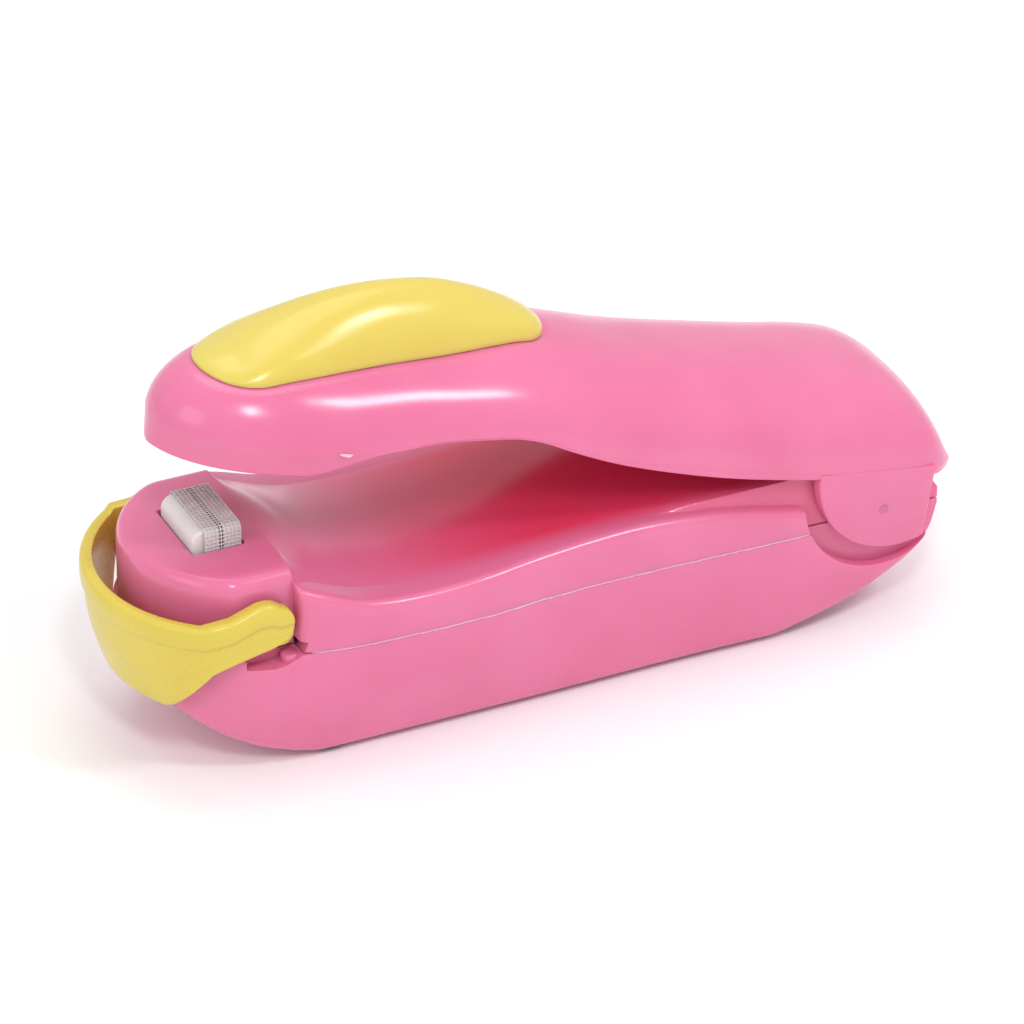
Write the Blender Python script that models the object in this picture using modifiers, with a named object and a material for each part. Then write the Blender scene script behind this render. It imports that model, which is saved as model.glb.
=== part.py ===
"""Handheld bag heat sealer, modelled as an assembly of separate pieces.

Frame: +Z up, the flat underside at z = 0, the nose with the heater at -X, the
hinge at +X, and the XZ plane is the plane of symmetry. The sealer stands open:
the lever is raised and the guard ring is lowered. Lengths are in millimetres
times MM, so every value handed to Blender is in metres.
"""

import math

import bmesh
import bpy
import numpy as np
from mathutils import Vector

MM = 0.001

# ---- driving dimensions -------------------------------------------------
GAP = 0.3                     # clearance between pieces that touch
CENTRE_SHIFT = 0.7            # puts the origin under the middle of the length
SEAM_Z, SEAM_SLOPE = 18.35, -0.019    # parting plane of the two base shells, which falls to the rear
WALL = 2.0

# base, nose
NOSE_CENTRE_X = -41.75        # the nose and the guard ring are round about this
NOSE_RADIUS = 17.7
NOSE_HALF_WIDTH = 16.0
BOW_RADIUS = 18.4             # the lower shell's nose, just wider than the upper's
STEP_X = -41.0                # shoulder behind the nose
PLATFORM_Z = 31.5
# base, rear
REAR_X = 60.6
SPINE_HALF_WIDTH = 15.5
POCKET_X, POCKET_Z, POCKET_RADIUS = 51.3, 22.7, 13.3
PIVOT_X, PIVOT_Z = 50.6, 18.9

# lever, in its own frame: closed, with the pivot where it is in the base
LEVER_OPEN_DEG = 9.0
LEVER_TIP_X = -58.7
LEVER_NOSE_END_X = -33.0
LEVER_NOSE_HALF_WIDTH = 15.2
RIDGE_Z = 34.3
DECK_Z = 44.7
LEVER_WALL = 1.8
EAR_X, EAR_Z, EAR_RADIUS = 52.1, 25.6, 13.0
EAR_INNER_Y, EAR_OUTER_Y = 16.0, 18.0
EAR_FLAT_X, EAR_TOP_Z = 58.1, 24.3
PAD_FRONT_X, PAD_REAR_X = -52.8, -0.5
PAD_WALL = 1.6

# guard ring
RING_PIVOT_X, RING_PIVOT_Z = -43.5, 22.6
RING_INNER_RADIUS = 21.0
RING_OUTER_RADIUS = 22.9
RING_ARM_INNER_Y, RING_ARM_OUTER_Y = 16.9, 19.2

# heater
HEATER_X = -48.0
HEATER_LENGTH_X, HEATER_LENGTH_Y = 7.4, 11.5
HEATER_TOP_Z = 34.8
HEATER_TRAVEL = 1.6

# power: two AA cells side by side
CELL_RADIUS, CELL_LENGTH = 7.1, 50.5
CELL_Y, CELL_Z = 7.4, 9.4
BAY_FRONT_X, BAY_REAR_X = -23.2, 36.6
BAY_HALF_WIDTH = 15.0
DOOR_FRONT_X, DOOR_REAR_X = -22.6, 35.6
DOOR_HALF_WIDTH = 13.6
DOOR_TONGUE = 1.1

# fasteners and small parts
PIN_RADIUS = 1.5
RING_PEG_RADIUS = 1.8
SCREW_RADIUS, SCREW_HEAD_RADIUS = 1.3, 2.6
SCREWS = [(-35.0, -12.5, 24.2), (-35.0, 12.5, 24.2), (44.0, -9.5, 24.6), (44.0, 9.5, 24.6)]  # x, y, tip z
LEVER_SPRING_XY = (35.0, 0.0)
PAD_PEG_RADIUS = 1.4
PAD_PEGS_X = (-40.0, -14.0)
ANVIL_X, ANVIL_Z = -47.5, 33.4
PLATFORM_EDGE_Z = 30.9
DOOR_TOP_Z = 1.5
TAB_LOW_Z = 22.4
BLADE_Z = TAB_LOW_Z - HEATER_TRAVEL - GAP

# outline tables: (x, value), in millimetres
BODY_HALF_WIDTH = [(-41, 18.5), (-36, 19.5), (-29, 20.0), (-13, 19.8), (-4, 18.8),
                   (8, 18.1), (23, 18.0), (60.6, 18.0)]
BODY_FOOT_WIDTH = [(-41, 16.6), (-35, 17.0), (-8, 17.0), (21, 16.7), (40, 17.1), (60.6, 17.4)]
BODY_EDGE_Z = [(-41, 29.4), (-37, 27.9), (-32, 25.9), (-26, 24.9), (-20, 24.7), (-11, 25.1),
               (-2, 25.5), (10, 25.8), (22, 24.9), (31, 23.2), (39.4, 21.2), (50, 19.6), (60.6, 18.9)]
BODY_TOP_Z = [(-41, 31.5), (-36, 30.0), (-30, 27.6), (-22, 26.0), (-11, 25.9), (0, 26.2),
              (10, 26.7), (25, 27.0), (47, 27.0), (52, 26.2), (56, 24.8), (58.8, 23.0), (60.6, 20.2)]
BODY_BOTTOM_Z = [(-60.15, 16.6), (-59.6, 13.6), (-57.5, 10.3), (-55, 7.9), (-50, 4.5), (-45.5, 2.4),
                 (-41, 0.9), (-37, 0.0), (33, 0.0), (38, 0.9), (47, 3.6), (53, 6.5), (56.2, 8.6),
                 (58.4, 10.8), (59.8, 13.4), (60.6, 16.4)]
LEVER_HALF_WIDTH = [(-33, 15.2), (-25, 15.3), (-12, 16.1), (0, 17.0), (20, 17.6), (33, 18.0),
                    (55, 18.0), (60, 16.6), (62.6, 14.0)]
LEVER_TOP_Z = [(-40, 44.7), (-20, 45.2), (-6, 45.1), (1, 43.7), (6.2, 42.5), (14, 40.6), (22.7, 39.3),
               (39.4, 37.4), (48, 36.7), (54, 35.3), (59.2, 31.7), (61.6, 28.3), (62.6, 25.4)]
LEVER_BOTTOM_Z = [(-58.7, 30.3), (-50, 30.2), (-40.2, 30.2), (-36.4, 31.3), (-32.4, 32.6), (-25.4, 33.8),
                  (-18, 34.5), (-11.5, 34.5), (-6.7, 33.9), (-1, 31.9), (5.5, 29.8), (12.8, 28.0),
                  (22.4, 26.2), (31.9, 25.1), (40, 24.4), (55, 23.6), (62.6, 22.8)]
LEVER_RIDGE_Z = [(-58.7, 34.3), (-50, 34.2), (-38, 33.9), (-31, 34.1), (-25.4, 34.5), (-18, 35.1),
                 (-11.5, 35.1), (-6.7, 34.6), (-1, 32.7), (5.5, 30.6), (12.8, 29.1), (31.8, 26.4), (62.6, 24.2)]
PAD_HALF_WIDTH = [(-49.8, 6.6), (-47, 7.7), (-42.7, 8.35), (-38, 8.2), (-28, 7.5), (-18.5, 7.05),
                  (-13.5, 6.55), (-8.4, 5.9), (-4.5, 4.95)]
PAD_TOP_Z = [(-52.8, 42.3), (-50, 43.8), (-42.7, 47.6), (-35.8, 50.3), (-28, 51.9), (-20.7, 52.1),
             (-12, 50.5), (-3.9, 47.2), (-0.5, 45.0)]


# ---- outlines -----------------------------------------------------------
def through(table, x):
    """A smooth curve through the table's points, with no overshoot between them."""
    xs = np.array([point[0] for point in table], dtype=float)
    ys = np.array([point[1] for point in table], dtype=float)
    x = min(max(x, xs[0]), xs[-1])
    secants = np.diff(ys) / np.diff(xs)
    slopes = np.concatenate([[secants[0]], (secants[:-1] + secants[1:]) / 2, [secants[-1]]])
    for i, (before, after) in enumerate(zip(secants[:-1], secants[1:]), start=1):
        if before * after <= 0:
            slopes[i] = 0.0
    i = min(int(np.searchsorted(xs, x, side="right")) - 1, len(xs) - 2)
    step = xs[i + 1] - xs[i]
    t = (x - xs[i]) / step
    return float((2 * t**3 - 3 * t**2 + 1) * ys[i] + (t**3 - 2 * t**2 + t) * step * slopes[i]
                 + (3 * t**2 - 2 * t**3) * ys[i + 1] + (t**3 - t**2) * step * slopes[i + 1])


def seam(x):
    """Height of the sloping parting plane at x."""
    return SEAM_Z + SEAM_SLOPE * x


def arc_half_width(x, radius):
    """Half-width of the round nose at x."""
    return math.sqrt(max(radius**2 - (x - NOSE_CENTRE_X)**2, 0.25))


def upper_half_width(x):
    if x < STEP_X:
        return min(NOSE_HALF_WIDTH, arc_half_width(x, NOSE_RADIUS))
    return through(BODY_HALF_WIDTH, x)


def lower_half_width(x):
    if x < NOSE_CENTRE_X:
        return arc_half_width(x, BOW_RADIUS)
    return through(BODY_HALF_WIDTH, x)


def lever_half_width(x):
    if x < LEVER_NOSE_END_X:
        reach = (LEVER_NOSE_END_X - x) / (LEVER_NOSE_END_X - LEVER_TIP_X)
        return LEVER_NOSE_HALF_WIDTH * math.sqrt(max(1 - reach**2, 0.002))
    return through(LEVER_HALF_WIDTH, x)


def lever_top(x):
    front = LEVER_TOP_Z[0][0]
    if x < front:
        reach = (front - x) / (front - LEVER_TIP_X)
        return RIDGE_Z + (DECK_Z - RIDGE_Z) * math.sqrt(max(1 - reach**2, 0.002))
    return through(LEVER_TOP_Z, x)


def pad_half_width(x):
    """Egg-shaped plan: a blunt round front, a long tapering rear."""
    front, rear = PAD_HALF_WIDTH[0], PAD_HALF_WIDTH[-1]
    if x < front[0]:
        reach = (front[0] - x) / (front[0] - PAD_FRONT_X)
        return front[1] * math.sqrt(max(1 - reach**2, 0.002))
    if x > rear[0]:
        reach = (x - rear[0]) / (PAD_REAR_X - rear[0])
        return rear[1] * math.sqrt(max(1 - reach**2, 0.002))
    return through(PAD_HALF_WIDTH, x)


def nose_stations(radius, first_deg, last_deg, count):
    """Stations along X that follow the round nose evenly by angle."""
    angles = np.linspace(math.radians(first_deg), math.radians(last_deg), count)
    return [NOSE_CENTRE_X - radius * math.cos(angle) for angle in angles]


def corner(centre_y, centre_z, radius, from_deg, to_deg, count=3):
    """Points of a round corner in a YZ section."""
    points = []
    for angle in np.linspace(math.radians(from_deg), math.radians(to_deg), count):
        points.append((centre_y + radius * math.cos(angle), centre_z + radius * math.sin(angle)))
    return points


def mirrored(half, x):
    """Closes a right-hand half section, listed bottom to top, into a whole ring."""
    ring = [(x, y, z) for y, z in half]
    ring += [(x, -y, z) for y, z in reversed(half) if y > 1e-6]
    return ring


# ---- Blender helpers ----------------------------------------------------
for leftover in list(bpy.data.objects):
    bpy.data.objects.remove(leftover, do_unlink=True)

parts = bpy.data.collections.new("bag_heat_sealer")
bpy.context.scene.collection.children.link(parts)


def make_axis(name, point, parent=None, parent_point=(0, 0, 0)):
    """An empty that stands on a joint's axis and carries the pieces that move about it."""
    empty = bpy.data.objects.new(name, None)
    empty.location = (Vector(point) - Vector(parent_point)) * MM
    empty.parent = parent
    parts.objects.link(empty)
    return empty


def make_material(name, colour, roughness, metallic=0.0):
    material = bpy.data.materials.new(name)
    material.use_nodes = True
    shader = material.node_tree.nodes["Principled BSDF"]
    shader.inputs["Base Color"].default_value = (*colour, 1.0)
    shader.inputs["Roughness"].default_value = roughness
    shader.inputs["Metallic"].default_value = metallic
    return material


def add_mesh(name, bm):
    bmesh.ops.triangulate(bm, faces=bm.faces)
    bmesh.ops.recalc_face_normals(bm, faces=bm.faces)
    mesh = bpy.data.meshes.new(name)
    bm.to_mesh(mesh)
    bm.free()
    obj = bpy.data.objects.new(name, mesh)
    parts.objects.link(obj)
    return obj


def loft(name, sections):
    """A closed solid through rings of points that all have the same count."""
    bm = bmesh.new()
    rings = [[bm.verts.new(Vector(p) * MM) for p in section] for section in sections]
    count = len(rings[0])
    for ring, following in zip(rings, rings[1:]):
        for i in range(count):
            j = (i + 1) % count
            bm.faces.new((ring[i], ring[j], following[j], following[i]))
    for ring in (rings[0], rings[-1]):
        middle = bm.verts.new(sum((vertex.co for vertex in ring), Vector()) / count)
        for i in range(count):
            bm.faces.new((ring[i], ring[(i + 1) % count], middle))
    return add_mesh(name, bm)


def block(name, low, high):
    """A box between two corners."""
    bm = bmesh.new()
    bmesh.ops.create_cube(bm, size=1.0)
    size = [(b - a) * MM for a, b in zip(low, high)]
    middle = [(b + a) / 2 * MM for a, b in zip(low, high)]
    bmesh.ops.scale(bm, vec=size, verts=bm.verts)
    bmesh.ops.translate(bm, vec=middle, verts=bm.verts)
    return add_mesh(name, bm)


def cylinder(name, start, end, radius, end_radius=None, segments=16):
    """A cylinder or cone from one point to another along X, Y or Z."""
    along = Vector(end) - Vector(start)
    bm = bmesh.new()
    bmesh.ops.create_cone(bm, cap_ends=True, segments=segments, radius1=radius * MM,
                          radius2=(radius if end_radius is None else end_radius) * MM,
                          depth=along.length * MM)
    turn = Vector((0, 0, 1)).rotation_difference(along).to_matrix()
    bmesh.ops.rotate(bm, verts=bm.verts, cent=(0, 0, 0), matrix=turn)
    middle = (Vector(start) + Vector(end)) / 2
    bmesh.ops.translate(bm, vec=middle * MM, verts=bm.verts)
    return add_mesh(name, bm)


def simplified(obj):
    """Merges triangles that lie in one plane, which Booleans leave in strips."""
    name = obj.name
    bm = bmesh.new()
    bm.from_mesh(obj.data)
    bpy.data.objects.remove(obj, do_unlink=True)
    bmesh.ops.dissolve_limit(bm, angle_limit=math.radians(0.5), verts=bm.verts, edges=bm.edges)
    return add_mesh(name, bm)


def as_mesh(obj):
    """Replaces an object that has modifiers, or a curve, by its finished mesh."""
    graph = bpy.context.evaluated_depsgraph_get()
    mesh = bpy.data.meshes.new_from_object(obj.evaluated_get(graph))
    name = obj.name
    bpy.data.objects.remove(obj, do_unlink=True)
    bm = bmesh.new()
    bm.from_mesh(mesh)
    bmesh.ops.remove_doubles(bm, verts=bm.verts, dist=1e-6)
    bpy.data.meshes.remove(mesh)
    return add_mesh(name, bm)


def combine(target, tool, operation):
    """Applies a Boolean to the target and removes the tool."""
    modifier = target.modifiers.new(operation.lower(), "BOOLEAN")
    modifier.operation = operation
    modifier.object = tool
    result = as_mesh(target)
    bpy.data.objects.remove(tool, do_unlink=True)
    return result


def cut(target, *tools):
    for tool in tools:
        target = combine(target, tool, "DIFFERENCE")
    return target


def join(target, *tools):
    for tool in tools:
        target = combine(target, tool, "UNION")
    return target


def wire(name, points, radius, sides=2):
    """A round wire along a polyline, as a curve with a bevel and filled caps."""
    curve = bpy.data.curves.new(name, "CURVE")
    curve.dimensions = "3D"
    curve.bevel_depth = radius * MM
    curve.bevel_resolution = sides
    curve.use_fill_caps = True
    spline = curve.splines.new("POLY")
    spline.points.add(len(points) - 1)
    for slot, point in zip(spline.points, points):
        slot.co = (*(Vector(point) * MM), 1.0)
    obj = bpy.data.objects.new(name, curve)
    parts.objects.link(obj)
    return as_mesh(obj)


def coil_points(start, along, length, turns, start_radius, end_radius, per_turn=8):
    """Points of a helix about an axis along X or Z, with a cone's changing radius."""
    points = []
    count = int(turns * per_turn)
    for i in range(count + 1):
        t = i / count
        angle = 2 * math.pi * turns * t
        radius = start_radius + (end_radius - start_radius) * t
        across, up = radius * math.cos(angle), radius * math.sin(angle)
        if along == "Z":
            points.append((start[0] + across, start[1] + up, start[2] + length * t))
        else:
            points.append((start[0] + length * t, start[1] + across, start[2] + up))
    return points


def place(obj, material, axis, origin):
    """Finishes a piece: its material, its origin and the axis that carries it."""
    obj.data.materials.clear()
    obj.data.materials.append(material)
    shift = Vector(origin) * MM
    for vertex in obj.data.vertices:
        vertex.co -= shift
    empty, axis_point = axis
    obj.location = (Vector(origin) - Vector(axis_point)) * MM
    obj.parent = empty
    obj.data.shade_smooth()
    obj.data.set_sharp_from_angle(angle=math.radians(40))


# ---- materials ----------------------------------------------------------
PINK = make_material("pink_plastic", (0.87, 0.22, 0.42), 0.25)
YELLOW = make_material("yellow_plastic", (0.80, 0.62, 0.12), 0.30)
RING_YELLOW = make_material("ring_plastic", (0.75, 0.60, 0.10), 0.35)
WHITE = make_material("white_plastic", (0.80, 0.78, 0.75), 0.45)
TAPE = make_material("glass_fibre_tape", (0.60, 0.58, 0.55), 0.60)
SILICONE = make_material("silicone", (0.55, 0.12, 0.08), 0.70)
STEEL = make_material("spring_steel", (0.60, 0.60, 0.62), 0.30, 1.0)
BRASS = make_material("contact_brass", (0.75, 0.58, 0.28), 0.35, 1.0)
NICHROME = make_material("nichrome", (0.22, 0.20, 0.19), 0.45, 1.0)
CELL = make_material("cell_jacket", (0.10, 0.10, 0.12), 0.35)
LEAD = make_material("lead_insulation", (0.55, 0.03, 0.03), 0.45)

# ---- axes ---------------------------------------------------------------
origin_empty = make_axis("sealer_origin", (CENTRE_SHIFT, 0, 0))
PIVOT = (PIVOT_X, 0, PIVOT_Z)
RING_PIVOT = (RING_PIVOT_X, 0, RING_PIVOT_Z)
HEATER_POINT = (HEATER_X, 0, HEATER_TOP_Z)
BASE = (origin_empty, (0, 0, 0))
LEVER = (make_axis("lever_axis", PIVOT, origin_empty), PIVOT)
RING = (make_axis("guard_ring_axis", RING_PIVOT, origin_empty), RING_PIVOT)
HEATER = (make_axis("heater_axis", HEATER_POINT, origin_empty), HEATER_POINT)
DOOR = (make_axis("battery_door_axis", (0, 0, 0), origin_empty), (0, 0, 0))
LEVER[0].rotation_euler = (0, math.radians(LEVER_OPEN_DEG), 0)


# ---- base shells --------------------------------------------------------
def upper_section(x, nose=False):
    """The upper shell's solid section: side wall, rounded edge, ledge, spine and crown."""
    if nose:
        half, edge, top = upper_half_width(min(x, STEP_X - 0.1)), PLATFORM_EDGE_Z, PLATFORM_Z
        radius = min(2.4, half * 0.5)
        spine, wall = half - radius - 0.2, 0.0
    else:
        half, edge, top = upper_half_width(x), through(BODY_EDGE_Z, x), through(BODY_TOP_Z, x)
        radius = min(1.5, (edge - seam(x)) * 0.5)
        spine = SPINE_HALF_WIDTH
        wall = max(0.0, top - 1.2 - edge) * min(max((x - 2.0) / 10.0, 0.0), 1.0)
    low = seam(x) + GAP / 2
    ring = [(half, low)]
    ring += corner(half - radius, edge - radius, radius, 0, 90, 4)
    ring.append((spine, edge + 0.03))
    for share in (0.98, 0.9, 0.7, 0.4, 0.0):
        ring.append((spine * share, edge + 0.03 + wall + (top - edge - wall) * (1 - share**2)))
    return mirrored(ring, x)


def plain_section(x, half, low, high, low_radius=0.8, high_radius=0.8):
    """A plain section with rounded corners, used for hollows and the lower shell."""
    ring = corner(half - low_radius, low + low_radius, low_radius, -90, 0, 4)
    ring += corner(half - high_radius, high - high_radius, high_radius, 0, 90, 3)
    return mirrored(ring, x)


BODY_STATIONS = [-40.9, -38.5, -36, -33, -30, -26, -21, -15, -8, -2, 3, 8, 12, 18, 25, 32,
                 39.4, 45, 50, 54, 57, 58.8, 59.9, REAR_X]


def post_holes(points, low, high, radius):
    """Upright round cutters at the screws' places."""
    return [cylinder("hole", (x, y, low), (x, y, high), radius) for x, y in points]


def make_upper_shell():
    nose = nose_stations(NOSE_RADIUS, 3, 64, 8) + [-45.0, STEP_X - 0.02]
    shell = loft("base_upper_shell", [upper_section(x, nose=True) for x in nose]
                 + [upper_section(x) for x in BODY_STATIONS])
    hollow = []
    for x in nose_stations(NOSE_RADIUS - WALL, 12, 60, 5) + [-45.0, -42.5]:
        half = min(NOSE_HALF_WIDTH - WALL, arc_half_width(x, NOSE_RADIUS - WALL))
        hollow.append(plain_section(x, half, 15, PLATFORM_EDGE_Z - 1.6))
    for x in (-38.8, -35, -30, -24, -15, -6, 2):
        hollow.append(plain_section(x, upper_half_width(x) - WALL, 15, through(BODY_EDGE_Z, x) - 1.7))
    for x in (10, 20, 30, 40, 50, 55, 57.5):
        hollow.append(plain_section(x, SPINE_HALF_WIDTH - 1.8, 15, through(BODY_TOP_Z, x + 1.5) - WALL))
    shell = cut(shell, loft("hollow", hollow))
    posts = [cylinder("post", (x, y, seam(x - 3) + GAP / 2), (x, y, top + 0.8), 3.0)
             for x, y, top in SCREWS]
    posts.append(cylinder("spring_peg", (*LEVER_SPRING_XY, 26.0), (*LEVER_SPRING_XY, 29.5), 2.0))
    shell = join(shell, *posts)
    shell = cut(shell, *[cylinder("hole", (x, y, SEAM_Z - 1), (x, y, top), SCREW_RADIUS + GAP)
                         for x, y, top in SCREWS])
    slot_x, slot_y = HEATER_LENGTH_X / 2 + GAP, HEATER_LENGTH_Y / 2 + 1.0
    shell = cut(shell, block("heater_slot", (HEATER_X - slot_x, -slot_y, 27), (HEATER_X + slot_x, slot_y, 33)))
    return simplified(cut(shell, *side_cutters()))


def side_cutters():
    """Cuts that both base shells share: hinge pockets, pin hole, ring holes and slots."""
    tools = []
    for side in (-1, 1):
        tools.append(cylinder("pocket", (POCKET_X, side * (EAR_INNER_Y - GAP), POCKET_Z),
                              (POCKET_X, side * 22, POCKET_Z), POCKET_RADIUS, segments=40))
        tools.append(cylinder("ring_hole", (RING_PIVOT_X, side * 13, RING_PIVOT_Z),
                              (RING_PIVOT_X, side * 17, RING_PIVOT_Z), RING_PEG_RADIUS + GAP))
        reach = sorted((side * 16.1, side * 22))
        tools.append(block("slot", (-48.4, reach[0], 17.3), (-40.2, reach[1], 20.6)))
    tools.append(cylinder("pin_hole", (PIVOT_X, -19, PIVOT_Z), (PIVOT_X, 19, PIVOT_Z), PIN_RADIUS + GAP))
    return tools


def lower_section(x):
    """The lower shell's solid section: walls that lean in towards a narrower foot."""
    half, low, top = lower_half_width(x), through(BODY_BOTTOM_Z, x), seam(x) - GAP / 2
    foot = half - (through(BODY_HALF_WIDTH, x) - through(BODY_FOOT_WIDTH, x)) * min(half / 18.0, 1.0)
    radius = min(2.8, (top - low) * 0.45, foot * 0.4)
    ring = corner(foot - radius, low + radius, radius, -90, 0, 4)
    ring.append((foot + (half - foot) * 0.65, low + radius + (top - low - radius) * 0.45))
    ring += corner(half - 0.05, top - 0.05, 0.05, 0, 90, 3)
    return mirrored(ring, x)


def make_lower_shell():
    stations = nose_stations(BOW_RADIUS, 4, 80, 9) + [-41, -38] + [x for x in BODY_STATIONS if x > -37]
    shell = loft("base_lower_shell", [lower_section(x) for x in stations])
    hollow = []
    for x in nose_stations(BOW_RADIUS - 2.4, 12, 60, 5) + [-44, -40, -36, -24, -10, 4, 20, 34, 40, 47, 53, 57]:
        half = min(arc_half_width(x, BOW_RADIUS - 2.4), 13.6) if x < -39 else BAY_HALF_WIDTH
        if x > 38:
            half = SPINE_HALF_WIDTH - 1.8
        floor = max(through(BODY_BOTTOM_Z, x - 1), through(BODY_BOTTOM_Z, x + 1)) + 2.3
        hollow.append(plain_section(x, half, floor, SEAM_Z + 3))
    shell = cut(shell, loft("hollow", hollow))
    rib_reach = BAY_HALF_WIDTH + 0.4
    ribs = [block("rib", (BAY_FRONT_X - 1.4, -rib_reach, 1.5), (BAY_FRONT_X, rib_reach, 14.5)),
            block("rib", (BAY_REAR_X, -rib_reach, 2.6), (BAY_REAR_X + 1.4, rib_reach, 14.5)),
            cylinder("spring_post", (HEATER_X, 0, 5.4), (HEATER_X, 0, 19.0), 3.2)]
    for x, y, _ in SCREWS:
        ribs.append(cylinder("post", (x, y, through(BODY_BOTTOM_Z, x) + 1.6), (x, y, seam(x + 3.4) - GAP / 2), 3.4))
    shell = join(shell, *ribs)
    front, half, groove = DOOR_FRONT_X - GAP, DOOR_HALF_WIDTH + GAP, DOOR_HALF_WIDTH + DOOR_TONGUE + GAP
    channel = [block("door_channel", (front, -half, -1), (66, half, DOOR_TOP_Z + GAP)),
               block("door_groove", (front, -groove, DOOR_TOP_Z - 0.75), (66, groove, DOOR_TOP_Z + GAP)),
               block("cell_opening", (DOOR_FRONT_X + 0.5, -DOOR_HALF_WIDTH, -1),
                     (BAY_REAR_X - 0.4, DOOR_HALF_WIDTH, 4))]
    for x, y, _ in SCREWS:
        head_z = through(BODY_BOTTOM_Z, x) + 5.2
        channel.append(cylinder("counterbore", (x, y, -1), (x, y, head_z), SCREW_HEAD_RADIUS + GAP))
        channel.append(cylinder("screw_hole", (x, y, 1), (x, y, SEAM_Z + 1), SCREW_RADIUS + GAP))
    shell = cut(shell, *channel)
    return simplified(cut(shell, *side_cutters()))


def make_battery_door():
    door = block("battery_door", (DOOR_FRONT_X, -DOOR_HALF_WIDTH, 0), (DOOR_REAR_X, DOOR_HALF_WIDTH, DOOR_TOP_Z))
    reach = DOOR_HALF_WIDTH + DOOR_TONGUE
    door = join(door, block("tongues", (DOOR_FRONT_X + 1, -reach, DOOR_TOP_Z - 0.45),
                            (DOOR_REAR_X - 1, reach, DOOR_TOP_Z)))
    grooves = [block("finger_groove", (x, -7, -1), (x + 1.2, 7, 0.5)) for x in (22, 25, 28)]
    return cut(door, *grooves)


# ---- lever --------------------------------------------------------------
def lever_section(x, half, top, ridge, low):
    """An arch: upright lip up to the ridge, then a curved flank up to the crown."""
    power = 2 / (2.0 + 0.4 * min(max((x + 10) / 30, 0), 1))
    ring = [(half, low), (half, ridge)]
    for step in range(1, 8):
        angle = math.radians(90 * step / 8)
        ring.append((half * math.cos(angle)**power, ridge + (top - ridge) * math.sin(angle)**power))
    ring.append((0, top))
    return mirrored(ring, x)


def make_lever_shell():
    nose = [LEVER_NOSE_END_X - (LEVER_NOSE_END_X - LEVER_TIP_X) * math.sin(math.radians(angle))
            for angle in (88, 80, 70, 58, 44, 30, 15)]
    stations = nose + [-33, -29, -24.8, -20, -16, -12, -8.2, -5, -1.7, 2.5, 6.9, 11, 15.3, 23.5, 31.8,
                       40.5, 47, 52, 55, 57.5, 59.5, 61, 62, 62.6]
    shell = loft("lever_shell", [lever_section(x, lever_half_width(x), lever_top(x), through(LEVER_RIDGE_Z, x),
                                               through(LEVER_BOTTOM_Z, x)) for x in stations])
    ears = [cut(cylinder("ear", (EAR_X, side * EAR_INNER_Y, EAR_Z), (EAR_X, side * EAR_OUTER_Y, EAR_Z),
                         EAR_RADIUS, segments=40),
                block("above", (EAR_X - 15, -20, EAR_TOP_Z), (EAR_X + 15, 20, 45)),
                block("behind", (EAR_FLAT_X, -20, 10), (EAR_X + 15, 20, 45))) for side in (-1, 1)]
    hollow = []
    inner_tip = LEVER_TIP_X + LEVER_WALL + 0.3
    for angle in (84, 72, 58, 44, 30, 15, 0):
        x = LEVER_NOSE_END_X - (LEVER_NOSE_END_X - inner_tip) * math.sin(math.radians(angle))
        half = (LEVER_NOSE_HALF_WIDTH - LEVER_WALL) * math.cos(math.radians(angle))
        reach = min(max((LEVER_TOP_Z[0][0] - x) / (LEVER_TOP_Z[0][0] - inner_tip), 0), 0.998)
        top = RIDGE_Z + (DECK_Z - LEVER_WALL - RIDGE_Z) * math.sqrt(1 - reach**2)
        hollow.append(lever_section(x, half, top, RIDGE_Z, 24))
    for x in (-25, -16, -8, 0, 7, 15, 24, 32, 40, 48, 53, 56.5, 59, 60.6):
        rear_shift = 1.2 if x > 45 else 0.0
        top = lever_top(x + rear_shift) - LEVER_WALL
        ridge = min(through(LEVER_RIDGE_Z, x), top - 1.0)
        hollow.append(lever_section(x, min(lever_half_width(x), 18.0) - LEVER_WALL, top, ridge, 10))
    shell = cut(shell, loft("hollow", hollow))
    shell = join(shell, *ears)
    trims = [cylinder("pin_hole", (PIVOT_X, -17.5, PIVOT_Z), (PIVOT_X, 17.5, PIVOT_Z), PIN_RADIUS + GAP)]
    trims += [cylinder("peg_hole", (x, 0, 38), (x, 0, 48), PAD_PEG_RADIUS + GAP) for x in PAD_PEGS_X]
    return simplified(cut(shell, *trims))


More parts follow.
